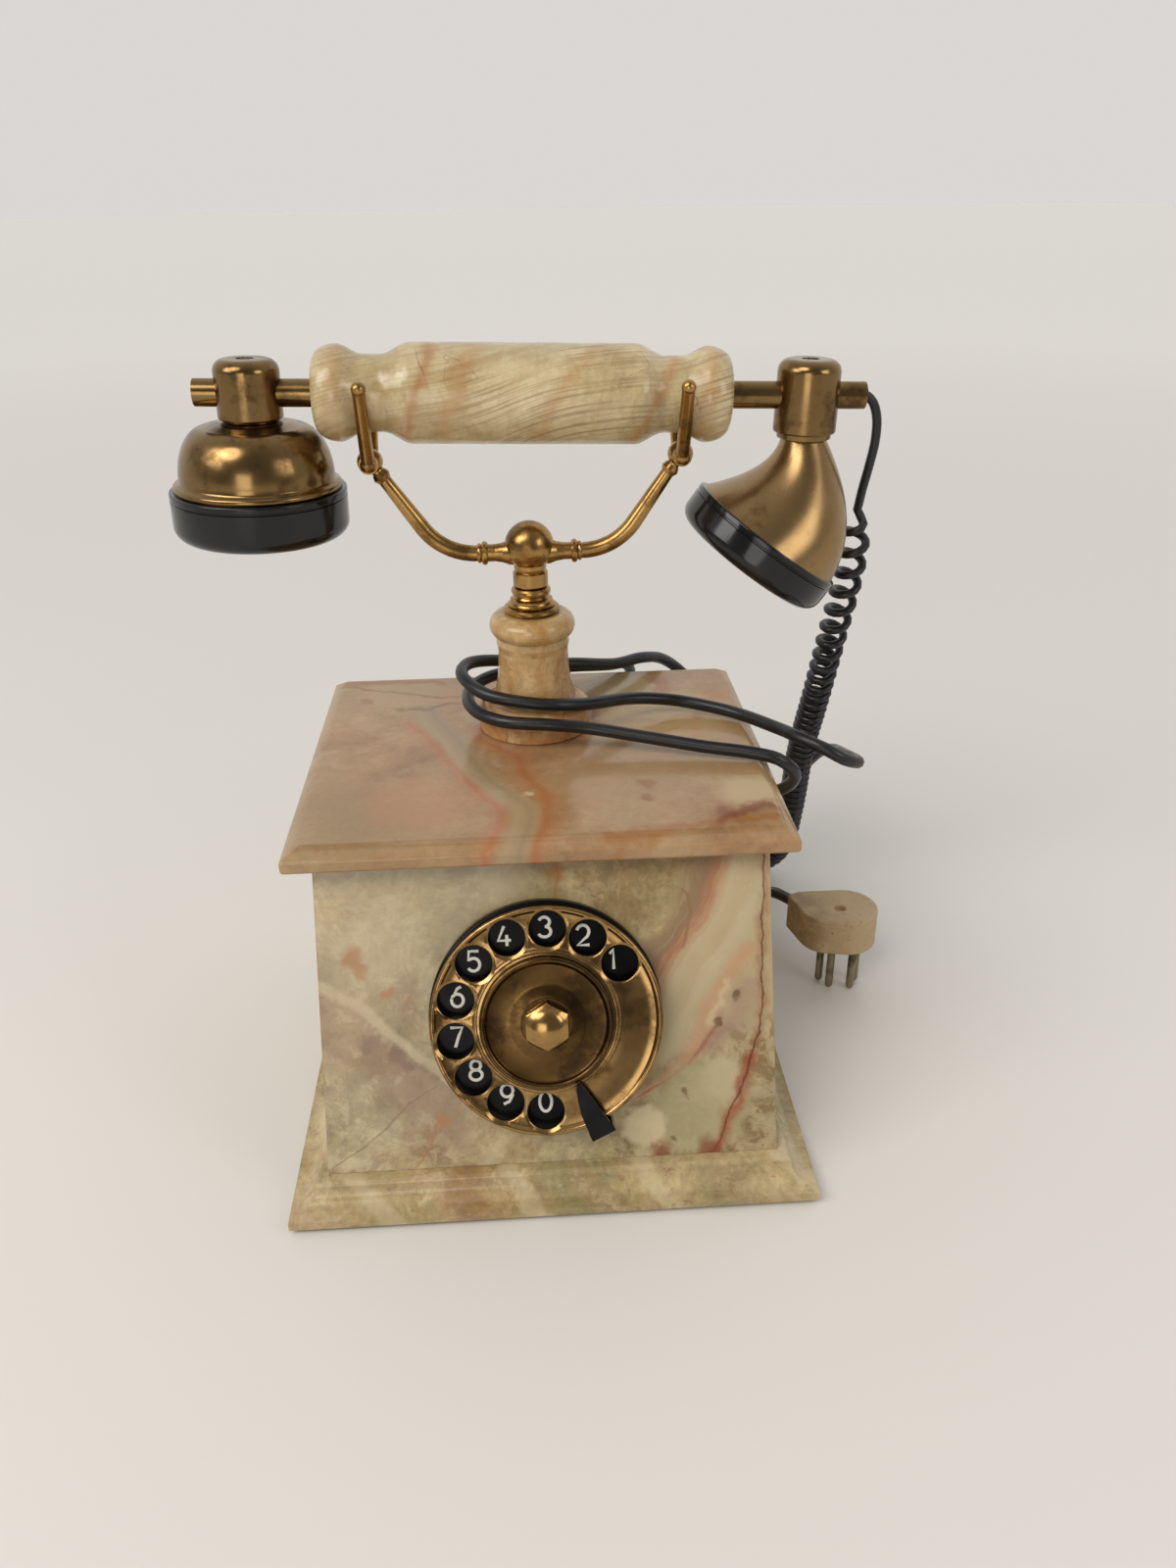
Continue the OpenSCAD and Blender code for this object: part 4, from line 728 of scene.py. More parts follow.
# %% Pillar and handle stone
def pillar_stone():
    """The pillar is turned from honey cream stone with upright ochre veins and an orange foot."""
    stone = clouded_stone("onyx_pillar", 20, (tone(148, 108, 62), tone(170, 132, 82)),
        (tone(184, 150, 100), tone(196, 168, 122)), 0.15, (1, 1, 0.45), 0.25)
    upright = stone.grain(stone.along((1, 0.6, 0), at=stone.moved), stone.along((0, 0, 1)), 5, 7)
    stone.lay(stone.fit(upright, 0.52, 0.66), 0.55, tone(172, 122, 66))
    foot = stone.times(stone.fit(stone.along((0, 0, 1), at=stone.moved), 136, 124),
        stone.fit(stone.noise(15, 5, at=stone.moved), 0.45, 0.55))
    stone.lay(foot, 0.55, tone(176, 112, 62))
    cracks(stone, 34, 0.005, 0.7, tone(142, 84, 44))
    return polish(stone)


def handle_stone():
    """The handle is pale stone with fine brown lines like wood grain and slanting ochre bands."""
    stone = clouded_stone("onyx_handle", 26, (tone(162, 141, 101), tone(182, 163, 123)),
        (tone(198, 181, 143), tone(211, 195, 159)), 0.35, milk=0.3, mottle=0.2)
    bowed = stone.warped(7, 60, detail=0)
    x, z = stone.along((1, 0, 0), at=bowed), stone.along((-0.22, 0.25, 1), at=bowed)
    hair = stone.grain(z, x, 0.85, 60, 1)
    broad = stone.grain(z, x, 4.5, 14, 4)
    stone.lay(stone.fit(broad, 0.52, 0.64), 0.42, tone(167, 134, 88))
    shown = stone.times(stone.fit(stone.noise(30, 3), 0.38, 0.58, 0.25, 1.0),
        stone.fit(x, -50, 15, 0.45, 1.0))
    stone.lay(stone.times(stone.fit(hair, 0.52, 0.62), shown), 0.55, tone(127, 94, 58))
    ragged = stone.warped(4, 9, detail=7)
    rx, rz = stone.along((1, 0, 0), at=ragged), stone.along((0, 0.3, 1), at=ragged)
    for route, width, share, colour in (([(222, -43), (234, -38), (246, -33), (262, -30)], 1.6, 0.65,
            tone(167, 105, 55)),
            ([(222, -30), (240, -24), (262, -14)], 3.2, 0.4, tone(180, 134, 86)),
            ([(222, 2), (240, 12), (262, 30)], 2.6, 0.4, tone(177, 132, 81)),
            ([(222, 34), (240, 46), (262, 55)], 1.6, 0.55, tone(173, 114, 63)),
            ([(222, 58), (262, 66)], 2.4, 0.45, tone(179, 134, 85)),
            ([(222, -66), (262, -60)], 2.8, 0.4, tone(177, 136, 90))):
        stone.lay(stone.streak(rz, rx, route, width, 2.4), share, colour)
    cracks(stone, 46, 0.003, 0.6, tone(125, 76, 42))
    return polish(stone)


pillar_onyx = pillar_stone()
handle_onyx = handle_stone()
print("turned stone:", pillar_onyx.name, handle_onyx.name)

# %% [markdown]
# ## Brass and the other finishes
# Old brass isn't one colour: where hands rub it stays golden, and elsewhere it goes olive and dull.
# A flat metallic value would look plated, so noise moves both its colour and its gloss, with small
# specks of tarnish. Bakelite, cord, enamel and the plug's plastic get the same care at their own scale.


# %% Metals
def old_brass(name, bright, dull, tarnish=0.5, gloss=(0.20, 0.40), grain=None):
    metal = Finish(name, Metallic=1.0)
    patchy = metal.noise(17, 6, 0.68)
    share = metal.fit(patchy, 0.62 - 0.3 * tarnish, 0.80 - 0.3 * tarnish)
    c = metal.mix(share, bright, dull)
    specks = metal.fit(metal.noise(1.6, 5, 0.75), 0.60, 0.70)
    specks = metal.times(specks, metal.fit(metal.noise(12, 2), 0.45, 0.62))
    c = metal.mix(metal.times(specks, 0.75 * tarnish + 0.1), c, tuple(0.35 * v for v in dull))
    metal.colour(c)
    smear = metal.noise(9, 5, 0.6, stretch=grain)
    metal.roughness(metal.fit(metal.sums("ADD", smear, metal.times(share, 0.25)), 0.3, 0.9, *gloss))
    metal.bump(metal.noise(0.9, 4, 0.65, stretch=grain), 0.015, 0.35)
    return metal.material


brass = old_brass("brass_aged", tone(170, 134, 80), tone(112, 84, 48), 0.5, (0.20, 0.36))
brass_horn = old_brass("brass_satin_horn", tone(154, 126, 86), tone(114, 90, 58), 0.3, (0.24, 0.34))
brass_olive = old_brass("brass_olive", tone(134, 108, 70), tone(92, 70, 42), 0.5, (0.18, 0.30))
brass_wheel = old_brass("brass_wheel", tone(160, 128, 82), tone(106, 82, 50), 0.5, (0.15, 0.27))
brass_hub = old_brass("brass_hub_tarnished_and_gap_shade", tone(100, 76, 44), tone(62, 46, 28), 0.6, (0.18, 0.30))
brass_nut = old_brass("brass_nut", tone(166, 132, 82), tone(112, 84, 48), 0.4, (0.16, 0.28))
steel = old_brass("steel_zinc", tone(188, 190, 192), tone(140, 142, 140), 0.4, (0.28, 0.45))
tin = old_brass("tin_plate", tone(200, 200, 192), tone(160, 160, 148), 0.3, (0.30, 0.45))
pin_metal = old_brass("pin_plating", tone(150, 140, 112), tone(92, 84, 60), 0.6, (0.25, 0.42))
print("metals:", [m.name for m in (brass, brass_horn, brass_olive, brass_wheel, brass_hub, brass_nut,
    steel, tin, pin_metal)])


# %% Plastics, rubber, felt and the inner pieces
def plain_finish(name, colour, other, size, gloss, coat=0.0, bump_size=0.8, bump_depth=0.02, share=0.5,
        shine=0.5):
    made = Finish(name, Coat_Weight=coat, Coat_Roughness=0.08, Specular_IOR_Level=shine)
    cloud = made.noise(size, 5, 0.62)
    made.colour(made.mix(made.times(made.fit(cloud, 0.42, 0.66), share), colour, other))
    made.roughness(made.fit(made.noise(size * 0.6, 5), 0.3, 0.75, *gloss))
    made.bump(made.noise(bump_size, 4, 0.6), bump_depth, 0.4)
    return made.material


def felt_finish():
    made = Finish("felt_green", Roughness=0.95, Sheen_Weight=0.6)
    made.colour(made.mix(made.noise(1.1, 5, 0.7), tone(26, 52, 36), tone(52, 84, 60)))
    made.bump(made.noise(0.5, 3, 0.7), 0.3, 0.8)
    return made.material


def copper_finish():
    made = Finish("copper_winding", Metallic=0.9, Roughness=0.35)
    fine = made.sums("SINE", made.times(made.along((0, 0, 1)), 14.0))
    made.colour(made.mix(made.fit(fine, -0.8, 0.8), tone(120, 56, 26), tone(196, 110, 62)))
    made.bump(fine, 0.06, 0.6)
    return made.material


bakelite = plain_finish("bakelite_black", tone(13, 13, 15), tone(22, 22, 26), 20, (0.10, 0.24), 0.15, 14,
    0.03, shine=0.35)
enamel = plain_finish("enamel_black", tone(8, 8, 9), tone(13, 13, 15), 16, (0.22, 0.34), 0.0, 8, 0.01,
    shine=0.12)
cord_pvc = plain_finish("cord_pvc", tone(20, 20, 22), tone(30, 30, 33), 12, (0.30, 0.45), 0.0, 1.4, 0.04)
digit_paint = plain_finish("digit_paint", tone(228, 226, 218), tone(206, 202, 190), 4, (0.40, 0.55), 0.0,
    0.5, 0.01)
phenolic = plain_finish("phenolic_brown", tone(96, 52, 26), tone(120, 70, 38), 6, (0.40, 0.55), 0.0, 1.0,
    0.02)
felt = felt_finish()
copper = copper_finish()


def ivory_finish():
    """Old ivory plastic: brown specks all over and grime towards the cord's side."""
    made = Finish("plug_ivory", Roughness=0.5)
    cloud = made.mix(made.noise(14, 5, 0.65), tone(192, 170, 132), tone(164, 138, 100))
    grime = made.fit(made.along((1, 0.2, 0)), 128, 108, 0.0, 0.75)
    grime = made.times(grime, made.fit(made.noise(7, 5, 0.7), 0.3, 0.6))
    cloud = made.mix(grime, cloud, tone(140, 116, 86))
    specks = made.fit(made.noise(1.7, 4, 0.7), 0.60, 0.68)
    made.colour(made.mix(made.times(specks, 0.8), cloud, tone(112, 82, 54)))
    made.roughness(made.fit(made.noise(5, 4), 0.3, 0.7, 0.36, 0.6))
    made.bump(made.noise(1.5, 5, 0.7), 0.08, 0.5)
    return made.material


ivory = ivory_finish()
print("other finishes ready")

# %% [markdown]
# ## Dress the CAD nodes
# A node whose solid already has the right shape keeps it and only gets its finish. That covers the
# turned and flat inner pieces, and the outer ones until a closer piece replaces them below.

# %% Finishes of the CAD nodes
DRESS = {
    front_onyx: "front_panel", lid_onyx: "top_lid", plinth_onyx: "plinth",
    side_onyx: "left_panel right_panel rear_panel", pillar_onyx: "pillar", handle_onyx: "handle",
    felt: "base_felt", copper: "ringer_coils induction_coil",
    steel: "bottom_plate base_screws tube_nut plunger_rod hook_spring hook_bracket dial_frame dial_shaft "
        "governor return_spring ringer_frame clapper",
    brass: "pillar_tube pillar_cap cradle_ball left_arm right_arm hook_lever drive_gear left_gong right_gong",
    brass_olive: "handset_rod ear_boss ear_shell mouth_boss boss_screws", brass_horn: "mouth_shell",
    brass_wheel: "finger_wheel", brass_hub: "hub_disc governor_cup", brass_nut: "hub_nut",
    bakelite: "ear_cap mouth_cap finger_stop", enamel: "number_plate",
    phenolic: "hook_contacts pulse_contacts terminal_block",
    tin: "capacitor receiver_capsule microphone_capsule",
    cord_pvc: "cord_bush handset_lead handset_coil handset_gland line_gland line_cord",
    ivory: "plug_body", pin_metal: "plug_pins"}
for finish, names in DRESS.items():
    for name in names.split():
        mesh = nodes[name].data
        mesh.materials.clear()
        mesh.materials.append(finish)
print("dressed", sum(len(v.split()) for v in DRESS.values()), "of", len(nodes))

# %% [markdown]
# ## The cords in place
# The line cord rides on the base with its plug, and a tie holds its spare turns: an open tube of four
# sides, rounded at its corners. The handset's cord is one wire from the rod's end to the back.

give(line_cord, "line_cord_sheath", "base", cord_pvc, "cord_rubber", ["line_cord"])

# %% Tie round the spare turns
TIE_MIDDLE, TIE_INSIDE, TIE_THICK = 9.9, (5.6, 6, 15.6), 0.7
clear_selection()
bpy.ops.mesh.primitive_cylinder_add(vertices=4, radius=sqrt(0.5), depth=1, end_fill_type="NOTHING")
tie = bpy.context.object
put_in_mesh(tie, Matrix.Rotation(radians(90), 4, "X") @ Matrix.Rotation(radians(45), 4, "Z"))
put_in_mesh(tie, Matrix.Translation(Vector((SPARE_X - SPARE_R, SPARE_Y, TIE_MIDDLE)) * MM)
    @ Matrix.Diagonal([side * MM for side in TIE_INSIDE] + [1]))
corners = tie.modifiers.new("corners", "BEVEL")
corners.width, corners.segments, corners.limit_method = 2.2 * MM, 5, "ANGLE"
band = tie.modifiers.new("band", "SOLIDIFY")
band.thickness, band.offset = TIE_THICK * MM, 1
apply_all(tie)
weld(tie)
smooth(tie, 40)
print("cord tie:", len(tie.data.polygons), "faces,", [round(1000 * d, 1) for d in tie.dimensions], "mm")
give(tie, "cord_tie", "base", bakelite, "cord_rubber")

handset_cord.name = "handset_cord_wire"
handset_cord.data.materials.append(cord_pvc)
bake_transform(handset_cord)
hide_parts("handset_coil", "handset_lead")

# %% [markdown]
# ## The stone slabs with eased edges
# A stonemason never leaves a slab's edge sharp: it is rubbed down to a narrow rounded line that catches
# the light. Each slab is a copy of its CAD solid, welded, freed of its inner triangle edges and then
# bevelled, which keeps its size and gives that line.


# %% Ease the edges of a solid
def eased_copy(node, ease, steps=3, angle=35):
    """A welded copy of a CAD node's mesh with its sharp edges rounded by ease millimetres."""
    clear_selection()
    piece = bpy.data.objects.new(node + "_eased", nodes[node].data.copy())
    scene.collection.objects.link(piece)
    only(piece)
    bpy.ops.object.mode_set(mode="EDIT")
    bpy.ops.mesh.select_all(action="SELECT")
    bpy.ops.mesh.remove_doubles(threshold=0.00001)
    bpy.ops.mesh.dissolve_limited(angle_limit=radians(1))
    bpy.ops.object.mode_set(mode="OBJECT")
    bevel = piece.modifiers.new("ease", "BEVEL")
    bevel.width, bevel.segments = ease * MM, steps
    bevel.limit_method, bevel.angle_limit = "ANGLE", radians(angle)
    bevel.miter_outer = "MITER_ARC"
    bevel.use_clamp_overlap = True
    apply_all(piece)
    smooth(piece, angle)
    flat = piece.modifiers.new("flat", "WEIGHTED_NORMAL")
    flat.weight, flat.keep_sharp = 100, True
    apply_all(piece)
    return piece


for node, ease, finish, slot_name in (("plinth", 0.5, plinth_onyx, "onyx_green"),
        ("top_lid", 0.6, lid_onyx, "onyx_rose"), ("front_panel", 0.35, front_onyx, "onyx_green"),
        ("left_panel", 0.35, side_onyx, "onyx_green"), ("right_panel", 0.35, side_onyx, "onyx_green"),
        ("rear_panel", 0.35, side_onyx, "onyx_green"), ("finger_stop", 0.35, bakelite, "bakelite"),
        ("plug_body", 1.0, ivory, "ivory_plastic")):
    slab = give(eased_copy(node, ease), node + "_eased", "base", finish, slot_name, [node])
    print(slab.name, len(slab.data.polygons), "faces")

# %% [markdown]
# ## Turned pieces
# The finger wheel is sheet brass: a rolled bead round the rim, a dished web and a raised ring at the hub,
# then ten punched holes with bright rounded edges. Its section is drawn once as a line of points and
# turned about the dial's axis. One punch cuts each hole together with its rounded edge, because two
# cuts that meet in one line can leave a gap or a stray disc.

# %% The dial's axis
DIAL = Vector((-1, -85.5 + 51.2 * sin(LEAN), 13.2 + 51.2 * cos(LEAN)))
ON_FRONT = Matrix.Translation(DIAL * MM) @ Matrix.Rotation(radians(90) - LEAN, 4, "X")


def turned(name, section, steps=96):
    """A ring turned from a closed section of (radius, height) places in millimetres, about Z."""
    clear_selection()
    (first_r, first_z), rest = section[0], section[1:]
    bpy.ops.mesh.primitive_circle_add(vertices=steps, radius=first_r * MM, location=(0, 0, first_z * MM))
    piece = bpy.context.object
    piece.name = name
    put_in_mesh(piece)
    bpy.ops.object.mode_set(mode="EDIT")
    bpy.ops.mesh.select_all(action="SELECT")
    for (r0, z0), (r1, z1) in zip(section, rest):
        bpy.ops.mesh.extrude_region_move(TRANSFORM_OT_translate={"value": (0, 0, (z1 - z0) * MM)})
        bpy.ops.transform.resize(value=(r1 / r0, r1 / r0, 1), center_override=(0, 0, z1 * MM))
    weld(piece)
    return piece


def rounded(r, z, radius, start, end, steps):
    """Places of a circular arc for a section, in degrees."""
    return [(r + radius * cos(radians(a)), z + radius * sin(radians(a)))
        for a in (start + (end - start) * i / steps for i in range(steps + 1))]


def cut(piece, tools, kind="DIFFERENCE"):
    """Takes the tools away from the piece by exact Boolean, or keeps what they share."""
    for tool in tools:
        only(piece)
        boolean = piece.modifiers.new("cut", "BOOLEAN")
        boolean.operation, boolean.solver, boolean.object = kind, "EXACT", tool
        bpy.ops.object.modifier_apply(modifier="cut")
        only(tool)
        bpy.ops.object.delete()
    return piece


def peg(radius, low, high, x, y, sides):
    """A cylinder to cut with."""
    clear_selection()
    bpy.ops.mesh.primitive_cone_add(vertices=sides, radius1=radius * MM, radius2=radius * MM,
        depth=(high - low) * MM, location=(x * MM, y * MM, (low + high) / 2 * MM))
    piece = bpy.context.object
    put_in_mesh(piece)
    return piece


# %% Finger wheel
WHEEL_R, WHEEL_H, HUB_R, HOLE_RING = 38.0, 11.0, 21.9, 30.2
under = WHEEL_H - 2.4
section = [(3.05, under + 1.25), (HUB_R - 1, under + 1.25), (HUB_R + 2, under + 0.45), (WHEEL_R - 4, under),
    (WHEEL_R - 0.9, under)] + rounded(WHEEL_R - 0.95, WHEEL_H - 0.95, 0.95, -60, 150, 12) + [
    (WHEEL_R - 2.3, WHEEL_H - 1.0), (WHEEL_R - 2.9, WHEEL_H - 1.15), (33, WHEEL_H - 1.25),
    (30, WHEEL_H - 1.2), (27, WHEEL_H - 1.05), (25, WHEEL_H - 0.85),
    (24.3, WHEEL_H - 0.7)] + rounded(HUB_R + 1.1, WHEEL_H - 0.9, 0.9, 10, 120, 8) + [
    (HUB_R, WHEEL_H - 0.05), (3.05, WHEEL_H - 0.05), (3.05, under + 1.25)]
wheel = turned("finger_wheel_spun", section, 120)
HOLES = [radians(36 + i * 360 / 14) for i in range(10)]
edge_line = rounded(6.5, WHEEL_H - 1.7, 0.5, 180, 110, 5)
punch_section = [(0.001, under - 1), (6, under - 1)] + edge_line + [(7.2, WHEEL_H - 0.75),
    (7.2, WHEEL_H + 1), (0.001, WHEEL_H + 1)]


def punch(angle):
    """A punch for one finger hole, flared where it leaves the hole's rounded edge."""
    tool = turned("punch", punch_section, 48)
    put_in_mesh(tool, Matrix.Translation((HOLE_RING * MM * cos(angle), HOLE_RING * MM * sin(angle), 0)))
    return tool


cut(wheel, [punch(angle) for angle in HOLES])
set_down(wheel, 28, ON_FRONT, "finger_wheel_spun", "dial", brass_wheel, "wheel_brass", ["finger_wheel"])
edge_uses = Counter(key for face in wheel.data.polygons for key in face.edge_keys)
open_edges = sum(1 for uses in edge_uses.values() if uses != 2)
print("finger wheel:", len(wheel.data.polygons), "faces, 10 holes,", open_edges, "open edges")

# %% Hub disc
HUB_TOP = 13.0
hub_section = [(3.05, WHEEL_H + 0.02), (HUB_R - 3, WHEEL_H + 0.02), (HUB_R - 0.9, HUB_TOP - 0.9)] + rounded(
    HUB_R - 1.1, HUB_TOP - 0.45, 1.05, -60, 165, 12) + [(HUB_R - 2.7, HUB_TOP - 0.62),
    (HUB_R - 3.6, HUB_TOP - 0.72), (13, HUB_TOP - 0.72), (12.4, HUB_TOP - 0.70), (11.8, HUB_TOP - 0.58),
    (9.4, HUB_TOP - 0.1), (8.6, HUB_TOP), (3.05, HUB_TOP), (3.05, WHEEL_H + 0.02)]
hub = turned("hub_disc_turned", hub_section, 120)
set_down(hub, 30, ON_FRONT, "hub_disc_turned", "dial", brass_hub, "dark_brass", ["hub_disc"])
print("hub disc:", len(hub.data.polygons), "faces")


# %% Hub nut
HEX_R = 13.5 / 2 / cos(radians(30))
NUT_Z = HUB_TOP + 0.8
clear_selection()
bpy.ops.mesh.primitive_cylinder_add(vertices=6, radius=HEX_R * MM, depth=8 * MM,
    location=(0, 0, (NUT_Z + 4) * MM))
nut = bpy.context.object
put_in_mesh(nut)
crown = turned("nut_crown", [(0.001, NUT_Z - 1), (HEX_R + 0.3, NUT_Z - 1), (HEX_R + 0.3, NUT_Z + 2.9)]
    + [(6.9, NUT_Z + 3.5), (6.0, NUT_Z + 3.9), (5.6, NUT_Z + 4.3), (4.6, NUT_Z + 4.8), (3.5, NUT_Z + 5.15),
    (2.4, NUT_Z + 5.4), (1.2, NUT_Z + 5.58), (0.001, NUT_Z + 5.65)], 72)
cut(nut, [crown], "INTERSECT")
edge = nut.modifiers.new("edge", "BEVEL")
edge.width, edge.segments, edge.angle_limit = 0.15 * MM, 2, radians(25)
apply_all(nut)
washer = turned("washer", [(3.1, HUB_TOP), (HEX_R + 0.6, HUB_TOP), (HEX_R + 0.6, HUB_TOP + 0.5),
    (HEX_R + 0.3, HUB_TOP + 0.8), (3.1, HUB_TOP + 0.8), (3.1, HUB_TOP)], 72)
clear_selection()
bpy.ops.mesh.primitive_cube_add(size=1, location=(0, 7.05 * MM, (NUT_Z + 0.9) * MM),
    scale=(6.4 * MM, 0.45 * MM, 1.8 * MM))
tab = bpy.context.object
put_in_mesh(tab, Matrix.Rotation(radians(30), 4, "Z"))
edge = tab.modifiers.new("edge", "BEVEL")
edge.width, edge.segments = 0.18 * MM, 2
apply_all(tab)
# The washer takes the dark hub brass so that it shows as a dark ring: painted shade in the gap round the nut.
set_down(washer, 30, ON_FRONT, "nut_washer", "dial", brass_hub, "dark_brass")
only(nut)
tab.select_set(True)
bpy.context.view_layer.objects.active = nut
bpy.ops.object.join()
nut = bpy.context.object
set_down(nut, 24, ON_FRONT, "hub_nut_domed", "dial", brass_nut, "brass", ["hub_nut"])
print("hub nut:", len(nut.data.polygons), "faces")

# %% [markdown]
# ## Turned stone and the handset
# The handle, the bosses, the ear shell and the two caps are round, so each is turned again here in 96 or
# 120 steps, where the CAD solid is coarser. The mouthpiece horn is bent as well as flared: its rings are
# extruded one after another, each moved, turned and widened along two guiding curves.

# %% Where the handset's frame lies
ON_HANDSET = Matrix.Translation(Vector((0, 40, 241.37)) * MM) @ Matrix.Rotation(radians(1.539), 4, "Y")
ALONG_ROD = ON_HANDSET @ Matrix.Rotation(radians(90), 4, "Y")
ON_EAR = ON_HANDSET @ Matrix.Translation(Vector((-92.5, 0, -31.6)) * MM)
ON_MOUTH = ON_HANDSET @ Matrix.Translation(Vector((88.5, 0,
    -48.3)) * MM) @ Matrix.Rotation(radians(214.5), 4, "Y")


def ease(u, start, end, a, b):
    t = max(0, min(1, (u - start) / (end - start)))
    return a + (b - a) * t * t * (3 - 2 * t)


# %% Handle
def handle_radius(x, grip=38.0, waist=48.0, out=54.0, bulb=62.5):
    return ease(x, grip, waist, 16.5, 12.6) if x < waist else ease(x, out, bulb, 12.6, 15.8)


half = [(handle_radius(x), x) for x in (0, 12, 24, 34, 36.5, 38, 39.5, 41, 42.5, 44, 45.5, 47, 48, 51, 54,
    55.5, 57, 58.5, 60, 61.5, 62.5)]
half += [(10.8 + 5.0 * cos(a), 62.5 + 7.9 * sin(a)) for a in (radians(10 * i) for i in range(1, 10))]
section = [(4.7, -70.4)] + [(r, -z) for r, z in reversed(half)] + half[1:] + [(4.7, 70.4), (4.7, -70.4)]
handle = turned("handle_turned", section)
set_down(handle, 40, ALONG_ROD, "handle_turned", "handset", handle_onyx, "onyx_handle", ["handle"])
print("handle:", len(handle.data.polygons), "faces")


# %% Bosses, ear shell and caps
def boss(name, x, low, high, collar, replaced):
    """A boss on the rod: a collar below, a rounded dome above and the rod's bore through it."""
    dome = 4
    section = [(3.0, -low), (9.0, -low), (9.4, -low + 0.25), (9.5, -low + collar),
        (10.6, -low + collar + 0.35), (10.9, -low + collar + 0.8)] + rounded(10.9 - dome, high - dome,
        dome, 0, 88, 12) + [(3.0, high), (3.0, -low)]
    piece = turned(name, section)
    clear_selection()
    bpy.ops.mesh.primitive_cylinder_add(vertices=64, radius=4.6 * MM, depth=0.06,
        rotation=(0, radians(90), 0))
    cut(piece, [bpy.context.object])
    return set_down(piece, 30, ON_HANDSET @ Matrix.Translation((x * MM, 0, 0)), name, "handset",
        brass_olive, "dark_brass", [replaced])


boss("ear_boss_turned", -92.5, 9.1, 11, 0.6, "ear_boss")
boss("mouth_boss_turned", 98, 14.3, 12, 1.8, "mouth_boss")

outer = [(16 + 10.4 * sin(a), 3.5 + 17.5 * cos(a)) for a in (radians(90 * i / 20) for i in range(21))]
inner = [(16 + 9.2 * sin(a), 2.5 + 17.3 * cos(a)) for a in (radians(90 * i / 12) for i in range(13))]
section = [(3, 22.5), (9.3, 22.5), (10.0, 22.3), (11.4, 22.1), (13.6, 21.8)] + outer + [(26.6, 2.9),
    (27.3, 2.4), (28.2, 2.1), (28.6, 1.6), (28.6, 0.4), (28.2, 0), (27.1, 0)] + inner[::-1] + [(3, 19.8),
    (3, 22.5)]
shell = turned("ear_shell_spun", section, 120)
set_down(shell, 45, ON_EAR, "ear_shell_spun", "handset", brass_olive, "dark_brass", ["ear_shell"])


def cap(name, r, h, place, replaced):
    """A bakelite cap: rounded face with seven holes, a fine groove near its open edge."""
    wall = r - 3.2
    section = [(wall, 0), (r - 0.8, 0)] + rounded(r - 0.6, 0.6, 0.6, -70, 0, 5) + [(r, 1.9),
        (r - 0.45, 2.2), (r - 0.45, 2.6), (r, 2.9)] + rounded(r - 5, h - 5, 5, 0, 90, 14) + [(r - 7, h),
        (r - 12, h - 0.5), (0.001, h - 0.9), (0.001, h - 4), (wall, h - 4), (wall, 0)]
    piece = turned(name, section, 120)
    spots = [(0, 0)] + [(8 * cos(radians(60 * i)), 8 * sin(radians(60 * i))) for i in range(6)]
    cut(piece, [peg(1.6, h - 6, h + 2, x, y, 24) for x, y in spots])
    return set_down(piece, 30, place, name, "handset", bakelite, "bakelite", [replaced])


cap("ear_cap_moulded", 30.17, 16.5, ON_EAR @ Matrix.Rotation(pi, 4, "X"), "ear_cap")
cap("mouth_cap_moulded", 30.4, 13.5, ON_MOUTH, "mouth_cap")
print("handset: bosses, ear shell and caps")


# %% Mouthpiece horn
def bend(a, b, c, t):
    return (1 - t) ** 2 * Vector(a) + 2 * t * (1 - t) * Vector(b) + t * t * Vector(c)


def horn_ring(t, wall):
    """Middle, radius and tilt of the horn's ring, from the neck at 0 to the rim at 1."""
    tilt = radians(34.5)
    reach, rim = Vector((28.8 * cos(tilt), -28.8 * sin(tilt))), Vector((88.5, -48.3))
    far = bend((105.8, -14.3), (123.2, -44.4), rim + reach, t)
    near = bend((90.2, -14.3), (88.4, -26.8), rim - reach, t)
    across = (far - near) / 2
    return (far + near) / 2, across.length - wall, atan2(-across.y, across.x)


rings = [horn_ring(i / 36, 0) for i in range(37)] + [horn_ring(i / 36, 1.2) for i in range(36, -1,
    -1)] + [horn_ring(0, 0)]
clear_selection()
(middle, radius, tilt), rest = rings[0], rings[1:]
bpy.ops.mesh.primitive_circle_add(vertices=96, radius=radius * MM,
    location=(middle.x * MM, 0, middle.y * MM))
horn = bpy.context.object
put_in_mesh(horn)
bpy.ops.object.mode_set(mode="EDIT")
bpy.ops.mesh.select_all(action="SELECT")
for m, r, lean in rest:
    bpy.ops.mesh.extrude_region_move(TRANSFORM_OT_translate={"value": ((m.x - middle.x) * MM, 0,
        (m.y - middle.y) * MM)})
    centre = (m.x * MM, 0, m.y * MM)
    bpy.ops.transform.rotate(value=-(lean - tilt), orient_axis="Y", center_override=centre)
    bpy.ops.transform.resize(value=(r / radius,) * 3, center_override=centre)
    middle, radius, tilt = m, r, lean
weld(horn)
set_down(horn, 50, ON_HANDSET, "mouth_horn_spun", "handset", brass_horn, "brass", ["mouth_shell"])
corners = [horn.matrix_world @ v.co for v in horn.data.vertices]

# %% [markdown]
# ## Digits
# The digits are painted on the plate behind the holes with a round nib, so each is a few strokes of one
# width with round ends. A font would bring its own style, and these strokes are drawn from arcs and
# lines instead, given a round bevel, pressed flat and made a mesh.


# %% Digit strokes
def sweep(cx, cy, rx, ry, start, end, steps=14):
    return [(cx + rx * cos(radians(a)), cy + ry * sin(radians(a)))
        for a in (start + (end - start) * i / steps for i in range(steps + 1))]


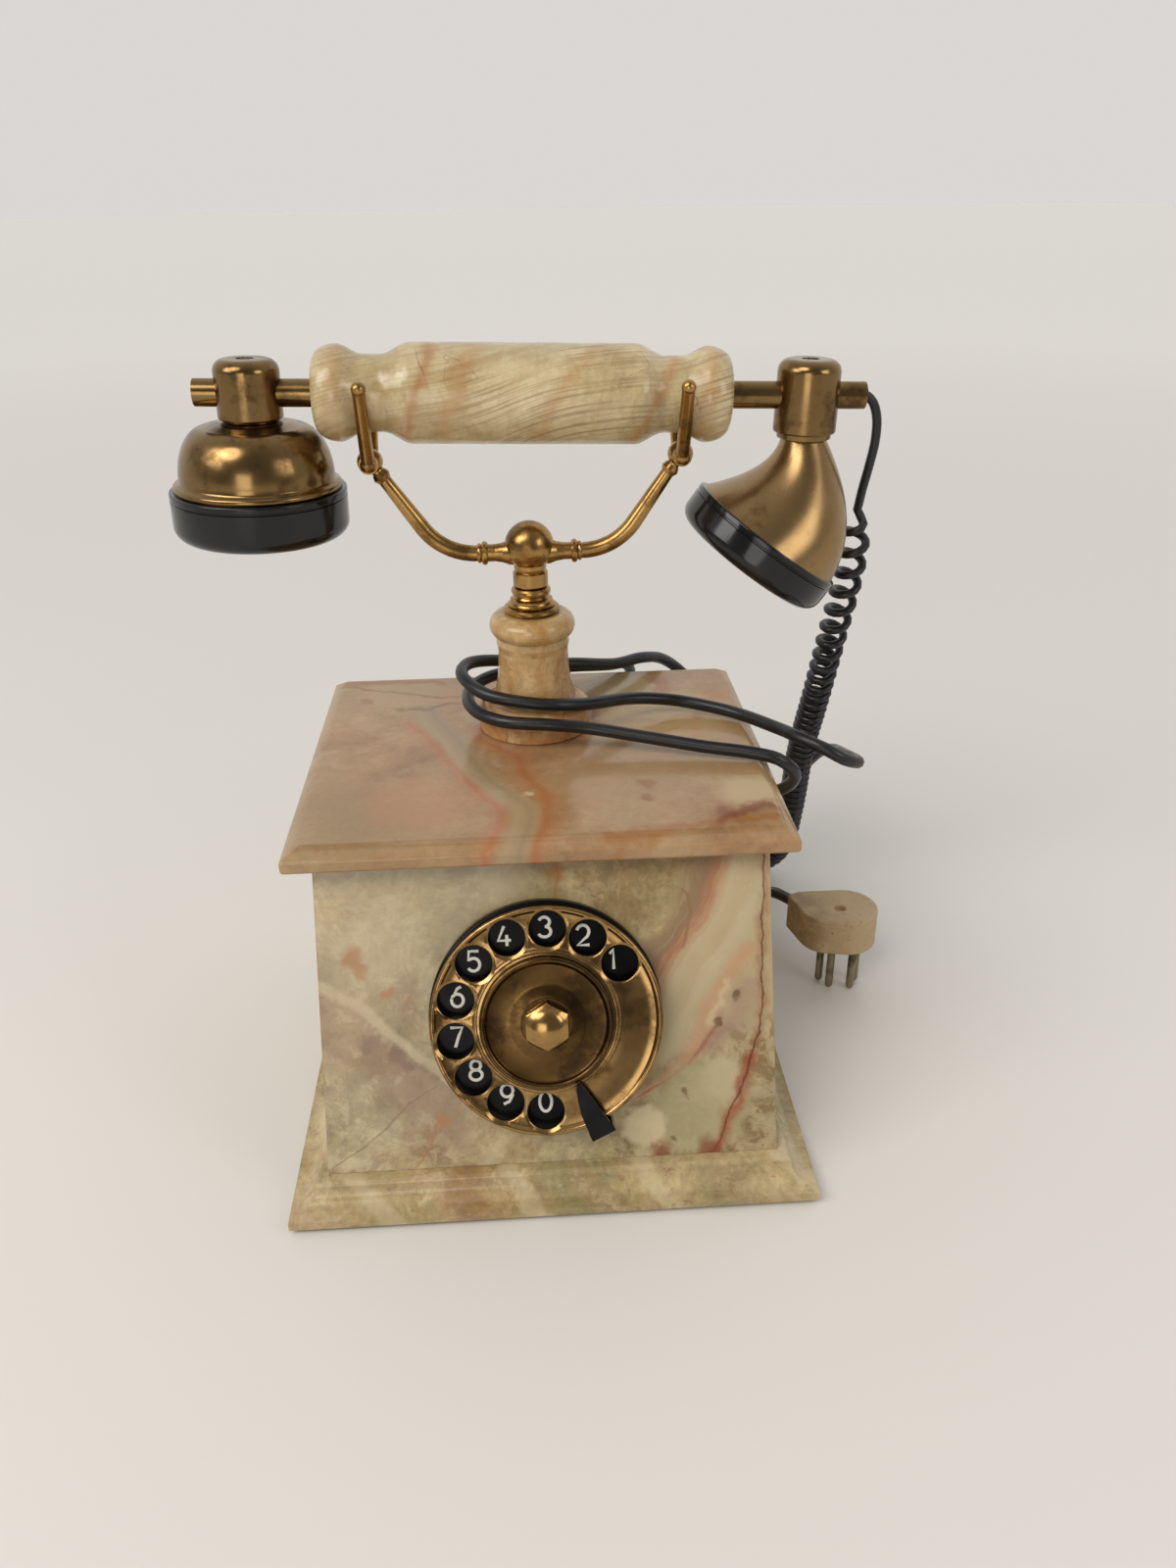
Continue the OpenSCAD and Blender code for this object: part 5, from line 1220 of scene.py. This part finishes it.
STROKES = {
    1: [[(-0.26, 0.28), (0, 0.5), (0, -0.5)]],
    2: [sweep(0, 0.18, 0.45, 0.32, 165, -20) + [(0.30, -0.08), (-0.45, -0.5), (0.46, -0.5)]],
    3: [sweep(-0.02, 0.255, 0.40, 0.245, 160, -80), sweep(-0.02, -0.235, 0.47, 0.265, 85, -160)],
    4: [[(0.02, 0.5), (-0.46, -0.22), (0.5, -0.22)], [(0.20, 0.06), (0.20, -0.5)]],
    5: [[(0.40, 0.5), (-0.32, 0.5), (-0.38, 0.07)] + sweep(0, -0.175, 0.46, 0.325, 128, -150)],
    6: [[(0.30, 0.5), (0.0, 0.40)] + sweep(0.0, -0.18, 0.44, 0.32, 165, 165 - 360, 22)],
    7: [[(-0.45, 0.5), (0.45, 0.5), (0.16, 0.06), (-0.12, -0.5)]],
    8: [sweep(0, 0.255, 0.37, 0.245, 0, 360, 20), sweep(0, -0.235, 0.46, 0.265, 0, 360, 20)],
    9: [sweep(0.0, 0.18, 0.44, 0.32, -15, 345, 22) + [(0.40, -0.06), (0.14, -0.38), (-0.28, -0.5)]],
    0: [sweep(0, 0, 0.45, 0.5, 0, 360, 24)]}
NUDGE = {1: (-1.7, 0.4), 2: (-1.3, 0.0), 3: (-0.8, -0.3), 4: (-0.9, -0.3), 5: (-0.3, -0.2), 6: (0.3, 0.1),
    7: (0.1, 0.0), 8: (0.6, 1.0), 9: (0.4, 1.3), 0: (0.0, 1.7)}


def painted_digit(digit, angle, wide=4.4, tall=6.6, nib=0.5):
    x, y = (HOLE_RING * f(angle) + n for f, n in zip((cos, sin), NUDGE[digit]))
    return round_strokes("digit", [[((x + wide * a) * MM, (y + tall * b) * MM, 0) for a, b in stroke]
        for stroke in STROKES[digit]], nib)


digits = [painted_digit((i + 1) % 10, a) for i, a in enumerate(HOLES)]
clear_selection()
for digit in digits:
    digit.select_set(True)
bpy.context.view_layer.objects.active = digits[0]
bpy.ops.object.join()
digits = bpy.context.object
put_in_mesh(digits, ON_FRONT @ Matrix.Translation((0, 0, 5.02 * MM)) @ Matrix.Diagonal((1, 1, 0.12, 1)))
smooth(digits, 40)
give(digits, "dial_digits", "base", digit_paint, "ivory_plastic")
print("digits:", len(digits.data.polygons), "faces")
